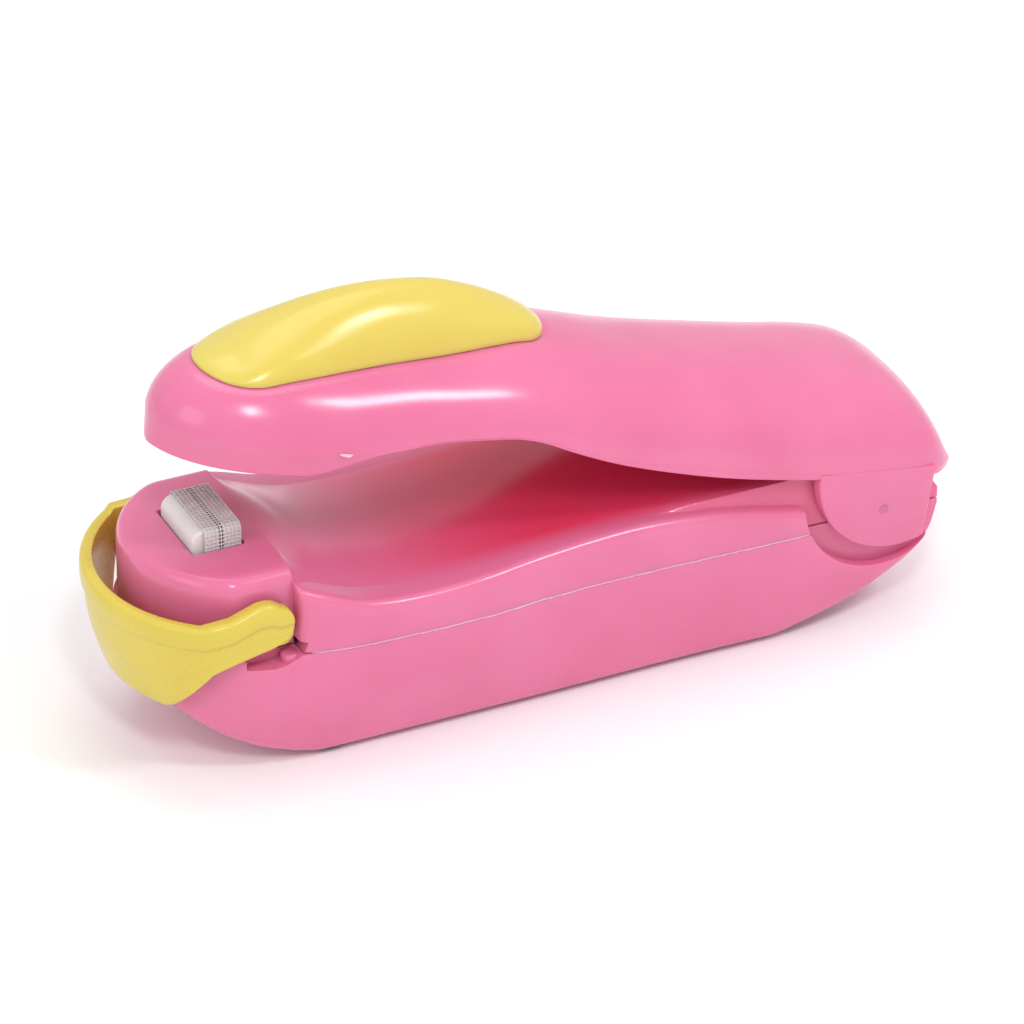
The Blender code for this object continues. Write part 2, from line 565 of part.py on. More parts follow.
def make_thumb_pad():
    """A hollow dome whose rim follows the lever's deck, with two pegs."""
    def deck_height(x, y):
        half = lever_half_width(x)
        top, ridge = lever_top(x), through(LEVER_RIDGE_Z, x)
        return ridge + (top - ridge) * math.sqrt(max(1 - (y / half)**2, 0.0))

    def pad_section(x, half, top, rim_drop):
        ring = [(0, deck_height(x, 0) + GAP - rim_drop), (half * 0.6, deck_height(x, half * 0.6) + GAP - rim_drop),
                (half, deck_height(x, half) + GAP - rim_drop)]
        rim = deck_height(x, half) + GAP + 0.3
        for step in range(0, 7):
            angle = math.radians(90 * step / 7)
            ring.append((half * math.cos(angle)**0.9, rim + (top - rim) * math.sin(angle)**0.9))
        ring.append((0, top))
        return mirrored(ring, x)

    length = PAD_REAR_X - PAD_FRONT_X
    stations = [PAD_FRONT_X + length * share for share in
                (0.004, 0.03, 0.075, 0.14, 0.22, 0.32, 0.43, 0.54, 0.65, 0.76, 0.86, 0.93, 0.97, 0.995)]
    pad = loft("thumb_pad", [pad_section(x, pad_half_width(x), max(through(PAD_TOP_Z, x), deck_height(x, 0) + 0.8), 0)
                             for x in stations])
    hollow = [pad_section(x, pad_half_width(x) - PAD_WALL, through(PAD_TOP_Z, x) - PAD_WALL, 3)
              for x in stations[3:-4]]
    pad = cut(pad, loft("hollow", hollow))
    pegs = [cylinder("peg", (x, 0, lever_top(x) - 3.2), (x, 0, through(PAD_TOP_Z, x) - 0.8), PAD_PEG_RADIUS)
            for x in PAD_PEGS_X]
    return join(pad, *pegs)


# ---- guard ring ---------------------------------------------------------
def ring_section(inner, outer, top, bottom, tuck):
    """A bead along the rim over a thinner skirt that tucks in towards the bow."""
    inner, outer = np.array(inner, dtype=float), np.array(outer, dtype=float)
    thick = float(np.linalg.norm(outer - inner))
    out = (outer - inner) / thick
    bead = min(3.4, (top - bottom) * 0.5)
    profile = [(0, top), (thick - 0.7, top), (thick, top - 0.7), (thick, top - bead), (thick - 0.6, top - bead - 0.5),
               (thick - 0.6 - tuck * 0.35, (top - bead + bottom) / 2), (thick - 0.6 - tuck, bottom + 0.4),
               (thick - 1.0 - tuck, bottom), (-tuck, bottom), (-tuck * 0.35, (top - bead + bottom) / 2)]
    return [(*(inner + out * r), z) for r, z in profile]


def make_guard_ring():
    arm_stations = [(-41.9, 25.6, 22.9), (-42.4, 26.3, 22.2), (-43.4, 27.3, 21.4), (-45, 28.3, 20.9),
                    (-46.6, 28.5, 20.6), (-49, 27.8, 20.1), (-51.5, 27.0, 19.6)]
    arm = [ring_section((x, RING_ARM_INNER_Y), (x, RING_ARM_OUTER_Y), top, bottom, 0.04)
           for x, top, bottom in arm_stations]
    inner_deg = math.degrees(math.asin(RING_ARM_INNER_Y / RING_INNER_RADIUS))
    outer_deg = math.degrees(math.asin(RING_ARM_OUTER_Y / RING_OUTER_RADIUS))
    arc = []
    for share in (1.0, 0.93, 0.84, 0.72, 0.58, 0.42, 0.21, 0.0):
        turn_in, turn_out = math.radians(inner_deg * share), math.radians(outer_deg * share)
        bottom = 11.1 + 7.8 * max(0.0, (share - 0.62) / 0.38)**1.8
        tuck = max(2.4 * min(1.0, (18.9 - bottom) / 7.8), 0.04)
        arc.append(ring_section(
            (NOSE_CENTRE_X - RING_INNER_RADIUS * math.cos(turn_in), RING_INNER_RADIUS * math.sin(turn_in)),
            (NOSE_CENTRE_X - RING_OUTER_RADIUS * math.cos(turn_out), RING_OUTER_RADIUS * math.sin(turn_out)),
            26.5, bottom, tuck))
    half = arm + arc
    other = [[(x, -y, z) for x, y, z in section] for section in reversed(half[:-1])]
    ring = loft("guard_ring", half + other)
    pegs = []
    for side in (-1, 1):
        pegs.append(cylinder("peg", (RING_PIVOT_X, side * 14.6, RING_PIVOT_Z), (RING_PIVOT_X, side * 17.6, RING_PIVOT_Z),
                             RING_PEG_RADIUS))
    return join(ring, *pegs)


# ---- heater -------------------------------------------------------------
def make_heater_block():
    half_x, half_y = HEATER_LENGTH_X / 2, HEATER_LENGTH_Y / 2
    body = block("heater_block", (HEATER_X - half_x, -half_y, 28.4), (HEATER_X + half_x, half_y, HEATER_TOP_Z - 1.2))
    bevel = body.modifiers.new("rounded", "BEVEL")
    bevel.width = 0.8 * MM
    bevel.segments = 2
    body = as_mesh(body)
    flange = block("flange", (HEATER_X - 4.6, -8.0, 27.4), (HEATER_X + 4.6, 8.0, 28.9))
    return join(body, flange)


def make_heater_tape():
    half_y = HEATER_LENGTH_Y / 2
    low_x, high_x = HEATER_X - 2.0, HEATER_X + HEATER_LENGTH_X / 2
    tape = block("heater_tape", (low_x, -half_y - 0.65, 30.0), (high_x, half_y + 0.65, HEATER_TOP_Z))
    return cut(tape, block("inside", (low_x - 1, -half_y - 0.3, 29), (high_x + 1, half_y + 0.3, HEATER_TOP_Z - 0.35)))


def make_contact_blade(side):
    y_in, y_out = sorted((side * 4.6, side * 8.2))
    blade = block(f"contact_blade_{SIDE_NAME[side]}", (HEATER_X - 1.4, y_in, BLADE_Z - 0.4), (HEATER_X + 1.4, y_out, BLADE_Z))
    leg = sorted((side * 7.8, side * 8.2))
    return join(blade, block("leg", (HEATER_X - 1.4, leg[0], 8.5), (HEATER_X + 1.4, leg[1], BLADE_Z - 0.1)))


# ---- power --------------------------------------------------------------
def make_cell(side):
    """An AA cell; the +Y one points rearwards and the -Y one forwards."""
    y = side * CELL_Y
    low = BAY_REAR_X - 0.9 - CELL_LENGTH if side > 0 else BAY_FRONT_X + 0.9
    can_low, can_high = (low, low + CELL_LENGTH - 1.2) if side > 0 else (low + 1.2, low + CELL_LENGTH)
    nub_low, nub_high = (can_high - 0.2, low + CELL_LENGTH) if side > 0 else (low, can_low + 0.2)
    cell = cylinder(f"battery_cell_{SIDE_NAME[side]}", (can_low, y, CELL_Z), (can_high, y, CELL_Z), CELL_RADIUS, segments=24)
    return join(cell, cylinder("nub", (nub_low, y, CELL_Z), (nub_high, y, CELL_Z), 2.7))


def lead_points(side):
    """From the contact blade's foot, along the bottom, round the screw post and up to the cell's plate."""
    route = [(HEATER_X, side * 9.2, 9.5), (-44, side * 9.4, 9.3), (-39.5, side * 8.2, 9.2), (-36, side * 7.4, 9.5),
             (-31, side * 7.6, 9.8), (-27.5, side * 8.2, 10.2), (-25.2, side * 8.6, 10.6)]
    return route


SIDE_NAME = {-1: "right", 1: "left"}

for piece in (make_upper_shell(), make_lower_shell()):
    place(piece, PINK, BASE, (0, 0, SEAM_Z))
place(make_battery_door(), PINK, DOOR, (0, 0, 0))
place(make_lever_shell(), PINK, LEVER, PIVOT)
place(make_thumb_pad(), YELLOW, LEVER, PIVOT)
place(make_guard_ring(), RING_YELLOW, RING, RING_PIVOT)
place(cylinder("hinge_pin", (PIVOT_X, -17.2, PIVOT_Z), (PIVOT_X, 17.2, PIVOT_Z), PIN_RADIUS), STEEL, BASE, PIVOT)

anvil_holder = block("anvil_holder", (ANVIL_X - 4.2, -6.8, ANVIL_Z + 1.9), (ANVIL_X + 4.2, 6.8, ANVIL_Z + 3.9))
anvil_holder = join(anvil_holder, cylinder("stem", (ANVIL_X, 0, ANVIL_Z + 3.5), (ANVIL_X, 0, 39.8), 2.6))
place(anvil_holder, WHITE, LEVER, PIVOT)
place(block("anvil_pad", (ANVIL_X - 4.0, -6.6, ANVIL_Z), (ANVIL_X + 4.0, 6.6, ANVIL_Z + 1.6)), SILICONE, LEVER, PIVOT)

place(make_heater_block(), WHITE, HEATER, HEATER_POINT)
place(block("heating_wire", (HEATER_X - 0.4, -HEATER_LENGTH_Y / 2 + 0.1, HEATER_TOP_Z - 0.9),
            (HEATER_X + 0.4, HEATER_LENGTH_Y / 2 - 0.1, HEATER_TOP_Z - 0.65)), NICHROME, HEATER, HEATER_POINT)
place(make_heater_tape(), TAPE, HEATER, HEATER_POINT)
place(wire("heater_spring", coil_points((HEATER_X, 0, 19.9), "Z", 6.6, 4, 2.6, 2.6), 0.4), STEEL, HEATER, HEATER_POINT)
place(wire("lever_spring", coil_points((*LEVER_SPRING_XY, 28.0), "Z", 8.2, 5, 3.4, 3.4), 0.45), STEEL, BASE, PIVOT)

for side in (-1, 1):
    tab_y = sorted((side * 5.3, side * 5.7))
    tab = block(f"heater_tab_{SIDE_NAME[side]}", (HEATER_X - 1.0, tab_y[0], TAB_LOW_Z), (HEATER_X + 1.0, tab_y[1], 27.1))
    place(tab, BRASS, HEATER, HEATER_POINT)
    place(make_contact_blade(side), BRASS, BASE, (HEATER_X, side * 8, BLADE_Z))
    place(make_cell(side), CELL, BASE, (0, side * CELL_Y, CELL_Z))
    place(wire(f"lead_{SIDE_NAME[side]}", lead_points(side), 0.55), LEAD, BASE, (0, 0, 0))
    plate_y = sorted((side * 2.2, side * 12.8))
    plate = block(f"contact_plate_{SIDE_NAME[side]}", (BAY_FRONT_X + 0.2, plate_y[0], 4.5), (BAY_FRONT_X + 0.6, plate_y[1], 14.2))
    place(plate, BRASS, BASE, (BAY_FRONT_X, side * CELL_Y, CELL_Z))
place(block("link_plate", (BAY_REAR_X - 0.6, -12.8, 4.5), (BAY_REAR_X - 0.2, 12.8, 14.2)), BRASS, BASE, (BAY_REAR_X, 0, CELL_Z))
spring_room = BAY_REAR_X - BAY_FRONT_X - CELL_LENGTH - 0.9
place(wire("battery_spring_front", coil_points((BAY_FRONT_X + 1.4, CELL_Y, CELL_Z), "X", spring_room - 2.3, 3, 4.6, 2.4), 0.35),
      STEEL, BASE, (BAY_FRONT_X, CELL_Y, CELL_Z))
place(wire("battery_spring_rear", coil_points((BAY_REAR_X - 1.4, -CELL_Y, CELL_Z), "X", 2.3 - spring_room, 3, 4.6, 2.4), 0.35),
      STEEL, BASE, (BAY_REAR_X, -CELL_Y, CELL_Z))

for number, (x, y, top) in enumerate(SCREWS, start=1):
    head_z = through(BODY_BOTTOM_Z, x) + 4.9
    screw = cylinder(f"shell_screw_{number}", (x, y, head_z - 1.8), (x, y, head_z), SCREW_HEAD_RADIUS)
    screw = join(screw, cylinder("shank", (x, y, head_z - 0.5), (x, y, top - GAP), SCREW_RADIUS, segments=12))
    screw = cut(screw, block("slot_a", (x - 1.5, y - 0.3, head_z - 3), (x + 1.5, y + 0.3, head_z - 1.2)),
                block("slot_b", (x - 0.3, y - 1.5, head_z - 3), (x + 0.3, y + 1.5, head_z - 1.2)))
    place(screw, STEEL, BASE, (x, y, head_z))
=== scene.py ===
"""The looks of a handheld bag heat sealer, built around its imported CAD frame.

Outlines are in millimetres in the sealer's own design frame, which is the CAD's
frame moved along X so that its origin is under the middle of the length. The
lever is built closed and then turned open about the hinge pin.
"""

import math
import random

import bmesh
import bpy
import numpy as np
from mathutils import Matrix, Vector


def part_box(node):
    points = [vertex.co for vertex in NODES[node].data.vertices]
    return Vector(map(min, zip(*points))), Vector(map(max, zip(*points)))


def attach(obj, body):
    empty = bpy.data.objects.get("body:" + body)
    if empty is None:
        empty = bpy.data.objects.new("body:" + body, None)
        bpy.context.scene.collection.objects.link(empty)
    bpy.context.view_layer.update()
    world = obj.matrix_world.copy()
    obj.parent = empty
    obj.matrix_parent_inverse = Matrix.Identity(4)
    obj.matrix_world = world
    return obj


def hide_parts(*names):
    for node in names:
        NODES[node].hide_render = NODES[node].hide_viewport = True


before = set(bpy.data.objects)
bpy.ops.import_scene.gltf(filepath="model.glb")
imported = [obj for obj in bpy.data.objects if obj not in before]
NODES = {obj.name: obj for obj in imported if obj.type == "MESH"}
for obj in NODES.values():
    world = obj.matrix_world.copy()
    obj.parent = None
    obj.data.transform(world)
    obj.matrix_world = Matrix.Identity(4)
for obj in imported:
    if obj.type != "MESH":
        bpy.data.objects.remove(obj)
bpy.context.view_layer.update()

MM = 0.001


def box_mm(node):
    """A CAD node's lowest and highest corners, in millimetres."""
    low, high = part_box(node)
    return low / MM, high / MM


# ---- places read from the frame -----------------------------------------
PIN_LOW, PIN_HIGH = box_mm("hinge_pin")
UPPER_LOW, _ = box_mm("base_upper_shell")
HEATER_LOW, HEATER_HIGH = box_mm("heater_tape")
BLOCK_LOW, BLOCK_HIGH = box_mm("heater_block")
DOOR_LOW, DOOR_HIGH = box_mm("battery_door")

NOSE_TIP_X = -59.45                              # the upper shell's nose in the design frame
SHIFT = UPPER_LOW.x - NOSE_TIP_X                 # design frame to row frame, along X
PIVOT_X = (PIN_LOW.x + PIN_HIGH.x) / 2 - SHIFT
PIVOT_Z = (PIN_LOW.z + PIN_HIGH.z) / 2
HEATER_X = (BLOCK_LOW.x + BLOCK_HIGH.x) / 2 - SHIFT
HEATER_TOP_Z = HEATER_HIGH.z
LEVER_OPEN = math.radians(9.0)

# ---- shapes -------------------------------------------------------------
NOSE_CENTRE_X = -41.75
NOSE_RADIUS = 17.7
NOSE_HALF_WIDTH = 16.0
BOW_RADIUS = 18.4
STEP_X = -41.0
PLATFORM_Z, PLATFORM_EDGE_Z = 31.5, 30.9
SEAM_Z, SEAM_SLOPE = 18.35, -0.019
REAR_X = 60.6
SPINE_HALF_WIDTH = 15.5
POCKET_X, POCKET_Z, POCKET_RADIUS = 51.3, 22.7, 13.3
EAR_X, EAR_Z, EAR_RADIUS = 52.1, 25.6, 13.0
EAR_INNER_Y, EAR_OUTER_Y = 16.0, 18.0
LEVER_TIP_X, LEVER_NOSE_END_X, LEVER_NOSE_HALF_WIDTH = -58.7, -33.0, 15.2
RIDGE_Z, DECK_Z = 34.3, 44.7
LEVER_WALL = 1.8
PAD_FRONT_X, PAD_REAR_X = -52.8, -0.5
HEATER_HALF_X = 3.7
RING_INNER_RADIUS, RING_OUTER_RADIUS = 21.0, 22.9
RING_ARM_INNER_Y, RING_ARM_OUTER_Y = 16.9, 19.2
RING_PEG_X, RING_PEG_Z = -43.5, 22.6
RING_PEG_RADIUS, RING_HOLE_RADIUS = 1.8, 2.1
PIN_HOLE_RADIUS = 1.8
FLANK_Y = 18.0                # half-width of the base and the lever at the hinge
SPINE_WALL = 1.8
DECK_EXTRA_WALL = 0.6         # the deck is this much thicker than the lever's walls
DOOR_TONGUE = 1.1             # how far the battery door's tongues reach sideways
SIDE_NAMES = {-1: "right", 1: "left"}

BODY_HALF_WIDTH = [(-41, 18.5), (-36, 19.5), (-29, 20.0), (-13, 19.8), (-4, 18.8),
                   (8, 18.1), (23, 18.0), (60.6, 18.0)]
BODY_FOOT_WIDTH = [(-41, 16.6), (-35, 17.0), (-8, 17.0), (21, 16.7), (40, 17.1), (60.6, 17.4)]
BODY_EDGE_Z = [(-41, 29.4), (-37, 27.9), (-32, 25.9), (-26, 24.9), (-20, 24.7), (-11, 25.1),
               (-2, 25.5), (10, 25.8), (22, 24.9), (31, 23.2), (39.4, 21.2), (50, 19.6), (60.6, 18.9)]
BODY_TOP_Z = [(-41, 31.5), (-36, 30.0), (-30, 27.6), (-22, 26.0), (-11, 25.9), (0, 26.2),
              (10, 26.7), (25, 27.0), (47, 27.0), (52, 26.2), (56, 24.8), (58.8, 23.0), (60.6, 20.2)]
BODY_BOTTOM_Z = [(-60.15, 16.6), (-59.6, 13.6), (-57.5, 10.3), (-55, 7.9), (-50, 4.5), (-45.5, 2.4),
                 (-41, 0.9), (-37, 0.0), (33, 0.0), (38, 0.9), (47, 3.6), (53, 6.5), (56.2, 8.6),
                 (58.4, 10.8), (59.8, 13.4), (60.6, 16.4)]
LEVER_HALF_WIDTH = [(-33, 15.2), (-25, 15.3), (-12, 16.1), (0, 17.0), (20, 17.6), (33, 18.0),
                    (55, 18.0), (60, 16.6), (62.6, 14.0)]
LEVER_TOP_Z = [(-40, 44.7), (-20, 45.2), (-6, 45.1), (1, 43.7), (6.2, 42.5), (14, 40.6), (22.7, 39.3),
               (39.4, 37.4), (48, 36.7), (54, 35.3), (59.2, 31.7), (61.6, 28.3), (62.6, 25.4)]
LEVER_BOTTOM_Z = [(-58.7, 30.3), (-50, 30.2), (-40.2, 30.2), (-36.4, 31.3), (-32.4, 32.6), (-25.4, 33.8),
                  (-18, 34.5), (-11.5, 34.5), (-6.7, 33.9), (-1, 31.9), (5.5, 29.8), (12.8, 28.0),
                  (22.4, 26.2), (31.9, 25.1), (40, 24.4), (55, 23.6), (62.6, 22.8)]
LEVER_RIDGE_Z = [(-58.7, 34.3), (-50, 34.2), (-38, 33.9), (-31, 34.1), (-25.4, 34.5), (-18, 35.1),
                 (-11.5, 35.1), (-6.7, 34.6), (-1, 32.7), (5.5, 30.6), (12.8, 29.1),
                 (31.8, 26.4), (62.6, 24.2)]
PAD_HALF_WIDTH = [(-44, 8.3), (-42.7, 8.35), (-38, 8.2), (-28, 7.5), (-18.5, 7.05), (-13.5, 6.6),
                  (-9.5, 6.1), (-6, 5.45)]
PAD_TOP_Z = [(-52.8, 41.2), (-50, 43.1), (-46.5, 45.4), (-42.7, 47.4), (-35.8, 50.3), (-28, 51.9),
             (-20.7, 52.1), (-12, 50.5), (-3.9, 47.2), (-0.5, 45.0)]


def smooth_curve(table, window=3.0):
    """A curve through a table of (x, value) points, its bends eased over a short window."""
    xs = np.array([point[0] for point in table], float)
    ys = np.array([point[1] for point in table], float)
    secants = np.diff(ys) / np.diff(xs)
    slopes = np.concatenate([[secants[0]], (secants[:-1] + secants[1:]) / 2, [secants[-1]]])
    slopes[1:-1][secants[:-1] * secants[1:] <= 0] = 0.0
    dense = np.arange(xs[0], xs[-1] + 0.05, 0.1)
    at = np.clip(np.searchsorted(xs, dense, side="right") - 1, 0, len(xs) - 2)
    step = xs[at + 1] - xs[at]
    t = np.clip((dense - xs[at]) / step, 0, 1)
    values = ((2 * t**3 - 3 * t**2 + 1) * ys[at] + (t**3 - 2 * t**2 + t) * step * slopes[at]
              + (3 * t**2 - 2 * t**3) * ys[at + 1] + (t**3 - t**2) * step * slopes[at + 1])
    reach = int(window / 0.1)
    before = 2 * values[0] - values[reach:0:-1]
    after = 2 * values[-1] - values[-2:-2 - reach:-1]
    kernel = np.hanning(2 * reach + 1)
    eased = np.convolve(np.concatenate([before, values, after]), kernel / kernel.sum(), mode="valid")

    def value(x):
        return float(np.interp(x, dense, eased))
    return value


body_half_width = smooth_curve(BODY_HALF_WIDTH)
body_foot_width = smooth_curve(BODY_FOOT_WIDTH)
body_edge = smooth_curve(BODY_EDGE_Z)
body_top = smooth_curve(BODY_TOP_Z)
body_bottom = smooth_curve(BODY_BOTTOM_Z, 0.6)
lever_side = smooth_curve(LEVER_HALF_WIDTH)
lever_crown = smooth_curve(LEVER_TOP_Z)
lever_bottom = smooth_curve(LEVER_BOTTOM_Z)
lever_ridge = smooth_curve(LEVER_RIDGE_Z)
pad_side = smooth_curve(PAD_HALF_WIDTH)
pad_crown = smooth_curve(PAD_TOP_Z)


def seam(x):
    """Height of the sloping parting line at x."""
    return SEAM_Z + SEAM_SLOPE * x


def smooth_step(value, start, end):
    share = min(max((value - start) / (end - start), 0.0), 1.0)
    return share * share * (3 - 2 * share)


def arc_half_width(x, radius):
    """Half-width of the round nose at x."""
    return math.sqrt(max(radius**2 - (x - NOSE_CENTRE_X)**2, 0.04))


def lever_half_width(x):
    if x < LEVER_NOSE_END_X:
        reach = (LEVER_NOSE_END_X - x) / (LEVER_NOSE_END_X - LEVER_TIP_X)
        return LEVER_NOSE_HALF_WIDTH * math.sqrt(max(1 - reach**2, 0.0004))
    return lever_side(x)


def lever_top(x):
    front = LEVER_TOP_Z[0][0]
    if x < front:
        reach = (front - x) / (front - LEVER_TIP_X)
        return RIDGE_Z + (DECK_Z - RIDGE_Z) * math.sqrt(max(1 - reach**2, 0.0004))
    return lever_crown(x)


def pad_half_width(x):
    """Egg-shaped plan: a blunt round front, a long tapering rear."""
    front, rear = PAD_HALF_WIDTH[0], PAD_HALF_WIDTH[-1]
    if x < front[0]:
        reach = (front[0] - x) / (front[0] - PAD_FRONT_X)
        return front[1] * math.sqrt(max(1 - reach**2, 0.0))
    if x > rear[0]:
        reach = (x - rear[0]) / (PAD_REAR_X - rear[0])
        return rear[1] * math.sqrt(max(1 - reach**2, 0.0))
    return pad_side(x)


# ---- mesh helpers -------------------------------------------------------
pieces = bpy.data.collections.new("sealer_looks")
bpy.context.scene.collection.children.link(pieces)


def in_row_frame(points, on_lever=False):
    """Design points in millimetres, moved to the row frame in metres."""
    points = np.array(points, float)
    if on_lever:
        across, up = points[:, 0] - PIVOT_X, points[:, 2] - PIVOT_Z
        cosine, sine = math.cos(LEVER_OPEN), math.sin(LEVER_OPEN)
        points[:, 0] = PIVOT_X + across * cosine + up * sine
        points[:, 2] = PIVOT_Z - across * sine + up * cosine
    points[:, 0] += SHIFT
    return points * MM


def mesh_object(name, points, faces, on_lever=False):
    mesh = bpy.data.meshes.new(name)
    mesh.from_pydata([tuple(p) for p in in_row_frame(points, on_lever)], [], faces)
    mesh.validate()
    bm = bmesh.new()
    bm.from_mesh(mesh)
    bmesh.ops.recalc_face_normals(bm, faces=bm.faces)
    bm.to_mesh(mesh)
    bm.free()
    obj = bpy.data.objects.new(name, mesh)
    pieces.objects.link(obj)
    return obj


def band(here, there, count):
    """Faces between two rings of points, given by their first indices."""
    return [(here + i, here + (i + 1) % count, there + (i + 1) % count, there + i) for i in range(count)]


def fan(start, middle, count):
    """Faces from a ring of points to one point in its middle."""
    return [(start + i, start + (i + 1) % count, middle) for i in range(count)]


def loft(name, sections, on_lever=False):
    """A closed solid through rings of points that all have the same count."""
    count = len(sections[0])
    last = (len(sections) - 1) * count
    points = [point for section in sections for point in section]
    faces = []
    for start in range(0, last, count):
        faces += band(start, start + count, count)
    for start in (0, last):
        faces += fan(start, len(points), count)
        points.append(tuple(np.mean(points[start:start + count], axis=0)))
    return mesh_object(name, points, faces, on_lever)


def mirrored(half, x):
    """Closes a right-hand half section, listed bottom to top, into a whole ring."""
    ring = [(x, y, z) for y, z in half]
    ring += [(x, -y, z) for y, z in reversed(half) if y > 1e-6]
    return ring


def corner(centre_y, centre_z, radius, from_deg, to_deg, count):
    """Points of a round corner."""
    angles = np.linspace(math.radians(from_deg), math.radians(to_deg), count)
    return [(centre_y + radius * math.cos(a), centre_z + radius * math.sin(a)) for a in angles]


def straight(start, end, count):
    """Points between two points, both ends left out."""
    return [tuple(np.array(start) + (np.array(end) - np.array(start)) * i / (count + 1))
            for i in range(1, count + 1)]


def turned(name, profile, start, along, on_lever=False, segments=48):
    """A turned solid: profile (distance, radius) points about an axis from start."""
    along = Vector(along).normalized()
    side = along.orthogonal().normalized()
    other = along.cross(side)
    sections = []
    for distance, radius in profile:
        centre = Vector(start) + along * distance
        sections.append([tuple(centre + (side * math.cos(a) + other * math.sin(a)) * radius)
                         for a in (2 * math.pi * i / segments for i in range(segments))])
    return loft(name, sections, on_lever)


def rod(name, start, end, radius, on_lever=False):
    """A plain round cutter or stem from one point to another."""
    along = Vector(end) - Vector(start)
    return turned(name, [(0, radius), (along.length, radius)], start, along, on_lever)


def rounded_rod(name, start, end, radius, edge):
    """A round post whose far end has a rounded edge."""
    along = Vector(end) - Vector(start)
    length = along.length
    profile = [(0, radius), (length - edge, radius)]
    profile += [(length - edge + edge * math.sin(a), radius - edge + edge * math.cos(a))
                for a in np.linspace(0.2, math.pi / 2, 6)]
    return turned(name, profile, start, along)


def rounded_block(name, low, high, radius):
    """A box between two corners, with rounded edges."""
    corners = [(x, y, z) for x in (low[0], high[0]) for y in (low[1], high[1]) for z in (low[2], high[2])]
    faces = [(0, 1, 3, 2), (4, 6, 7, 5), (0, 4, 5, 1), (2, 3, 7, 6), (0, 2, 6, 4), (1, 5, 7, 3)]
    obj = mesh_object(name, corners, faces)
    if radius > 0:
        bevel = obj.modifiers.new("rounded", "BEVEL")
        bevel.width = radius * MM
        bevel.segments = 3
        obj = finished(obj)
    return obj


def finished(obj):
    """Replaces an object that has modifiers, or a curve, by its finished mesh."""
    graph = bpy.context.evaluated_depsgraph_get()
    mesh = bpy.data.meshes.new_from_object(obj.evaluated_get(graph))
    name = obj.name
    bpy.data.objects.remove(obj, do_unlink=True)
    bm = bmesh.new()
    bm.from_mesh(mesh)
    bmesh.ops.remove_doubles(bm, verts=bm.verts, dist=2e-7)
    bm.to_mesh(mesh)
    bm.free()
    result = bpy.data.objects.new(name, mesh)
    pieces.objects.link(result)
    return result


def combine(target, operation, *tools):
    """Applies one Boolean after another to the target, and removes the tools."""
    for tool in tools:
        modifier = target.modifiers.new(operation.lower(), "BOOLEAN")
        modifier.operation = operation
        modifier.solver = "MANIFOLD"
        modifier.object = tool
        target = finished(target)
        bpy.data.objects.remove(tool, do_unlink=True)
    return target


def cut(target, *tools):
    return combine(target, "DIFFERENCE", *tools)


def join(target, *tools):
    return combine(target, "UNION", *tools)


def tube(name, points, radius, sides, on_lever=False):
    """A round wire along points, with a section that turns with the path."""
    points = np.array(points, float)
    along = np.vstack([points[1:], points[-1:]]) - np.vstack([points[:1], points[:-1]])
    along /= np.linalg.norm(along, axis=1)[:, None]
    up = np.array([0.0, 0.0, 1.0]) if abs(along[0][2]) < 0.9 else np.array([1.0, 0.0, 0.0])
    radii = np.full(len(points), radius) if np.isscalar(radius) else np.array(radius)
    sections = []
    for centre, direction, size in zip(points, along, radii):
        side = np.cross(direction, up)
        side /= np.linalg.norm(side)
        up = np.cross(side, direction)
        sections.append([tuple(centre + size * (math.cos(a) * side + math.sin(a) * up))
                         for a in (2 * math.pi * i / sides for i in range(sides))])
    return loft(name, sections, on_lever)


def finish_piece(obj, body, material, slot, *nodes, sharp_deg=32):
    """The last step for each piece: shading, material, the body it rides on, what it replaces."""
    obj.data.materials.clear()
    obj.data.materials.append(material)
    obj.data.shade_smooth()
    obj.data.set_sharp_from_angle(angle=math.radians(sharp_deg))
    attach(obj, body)
    if nodes:
        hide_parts(*nodes)
    return obj


# ---- materials ----------------------------------------------------------
def start_material(name):
    """A material with its shader and object coordinates, ready for more nodes."""
    material = bpy.data.materials.new(name)
    material.use_nodes = True
    nodes = material.node_tree.nodes
    return material, nodes["Principled BSDF"], nodes.new("ShaderNodeTexCoord").outputs["Object"]


def fill(material, node, inputs):
    """Gives a node's inputs their values, each a plain value or another node's output."""
    for key, value in inputs.items():
        if isinstance(value, bpy.types.NodeSocket):
            material.node_tree.links.new(value, node.inputs[key])
        else:
            node.inputs[key].default_value = value


def add_node(material, kind, inputs, **settings):
    node = material.node_tree.nodes.new("ShaderNode" + kind)
    for name, value in settings.items():
        setattr(node, name, value)
    fill(material, node, inputs)
    return node


def add_noise(material, place, scale, detail=3.0):
    noise = add_node(material, "TexNoise", {"Scale": scale, "Detail": detail, "Vector": place})
    return noise.outputs["Fac"]


def add_ramp(material, factor, stops):
    """A grey ramp between two (position, grey) stops."""
    ramp = add_node(material, "ValToRGB", {"Fac": factor})
    for element, (position, grey) in zip(ramp.color_ramp.elements, stops):
        element.position = position
        element.color = (grey, grey, grey, 1.0)
    return ramp.outputs["Color"]


def add_mix(material, factor, first, second):
    """Mixes two colours, each an output socket or a plain colour."""
    colours = [(*value, 1.0) if isinstance(value, tuple) else value for value in (first, second)]
    mix = add_node(material, "Mix", {"Factor": factor, 6: colours[0], 7: colours[1]}, data_type="RGBA")
    return mix.outputs[2]


def add_bump(material, height, strength, distance, below=None):
    """A bump from a height, on top of another bump if there is one below."""
    inputs = {"Strength": strength, "Distance": distance, "Height": height}
    if below is not None:
        inputs["Normal"] = below
    return add_node(material, "Bump", inputs).outputs["Normal"]


def add_product(material, first, second):
    product = add_node(material, "Math", {0: first, 1: second}, operation="MULTIPLY")
    return product.outputs["Value"]


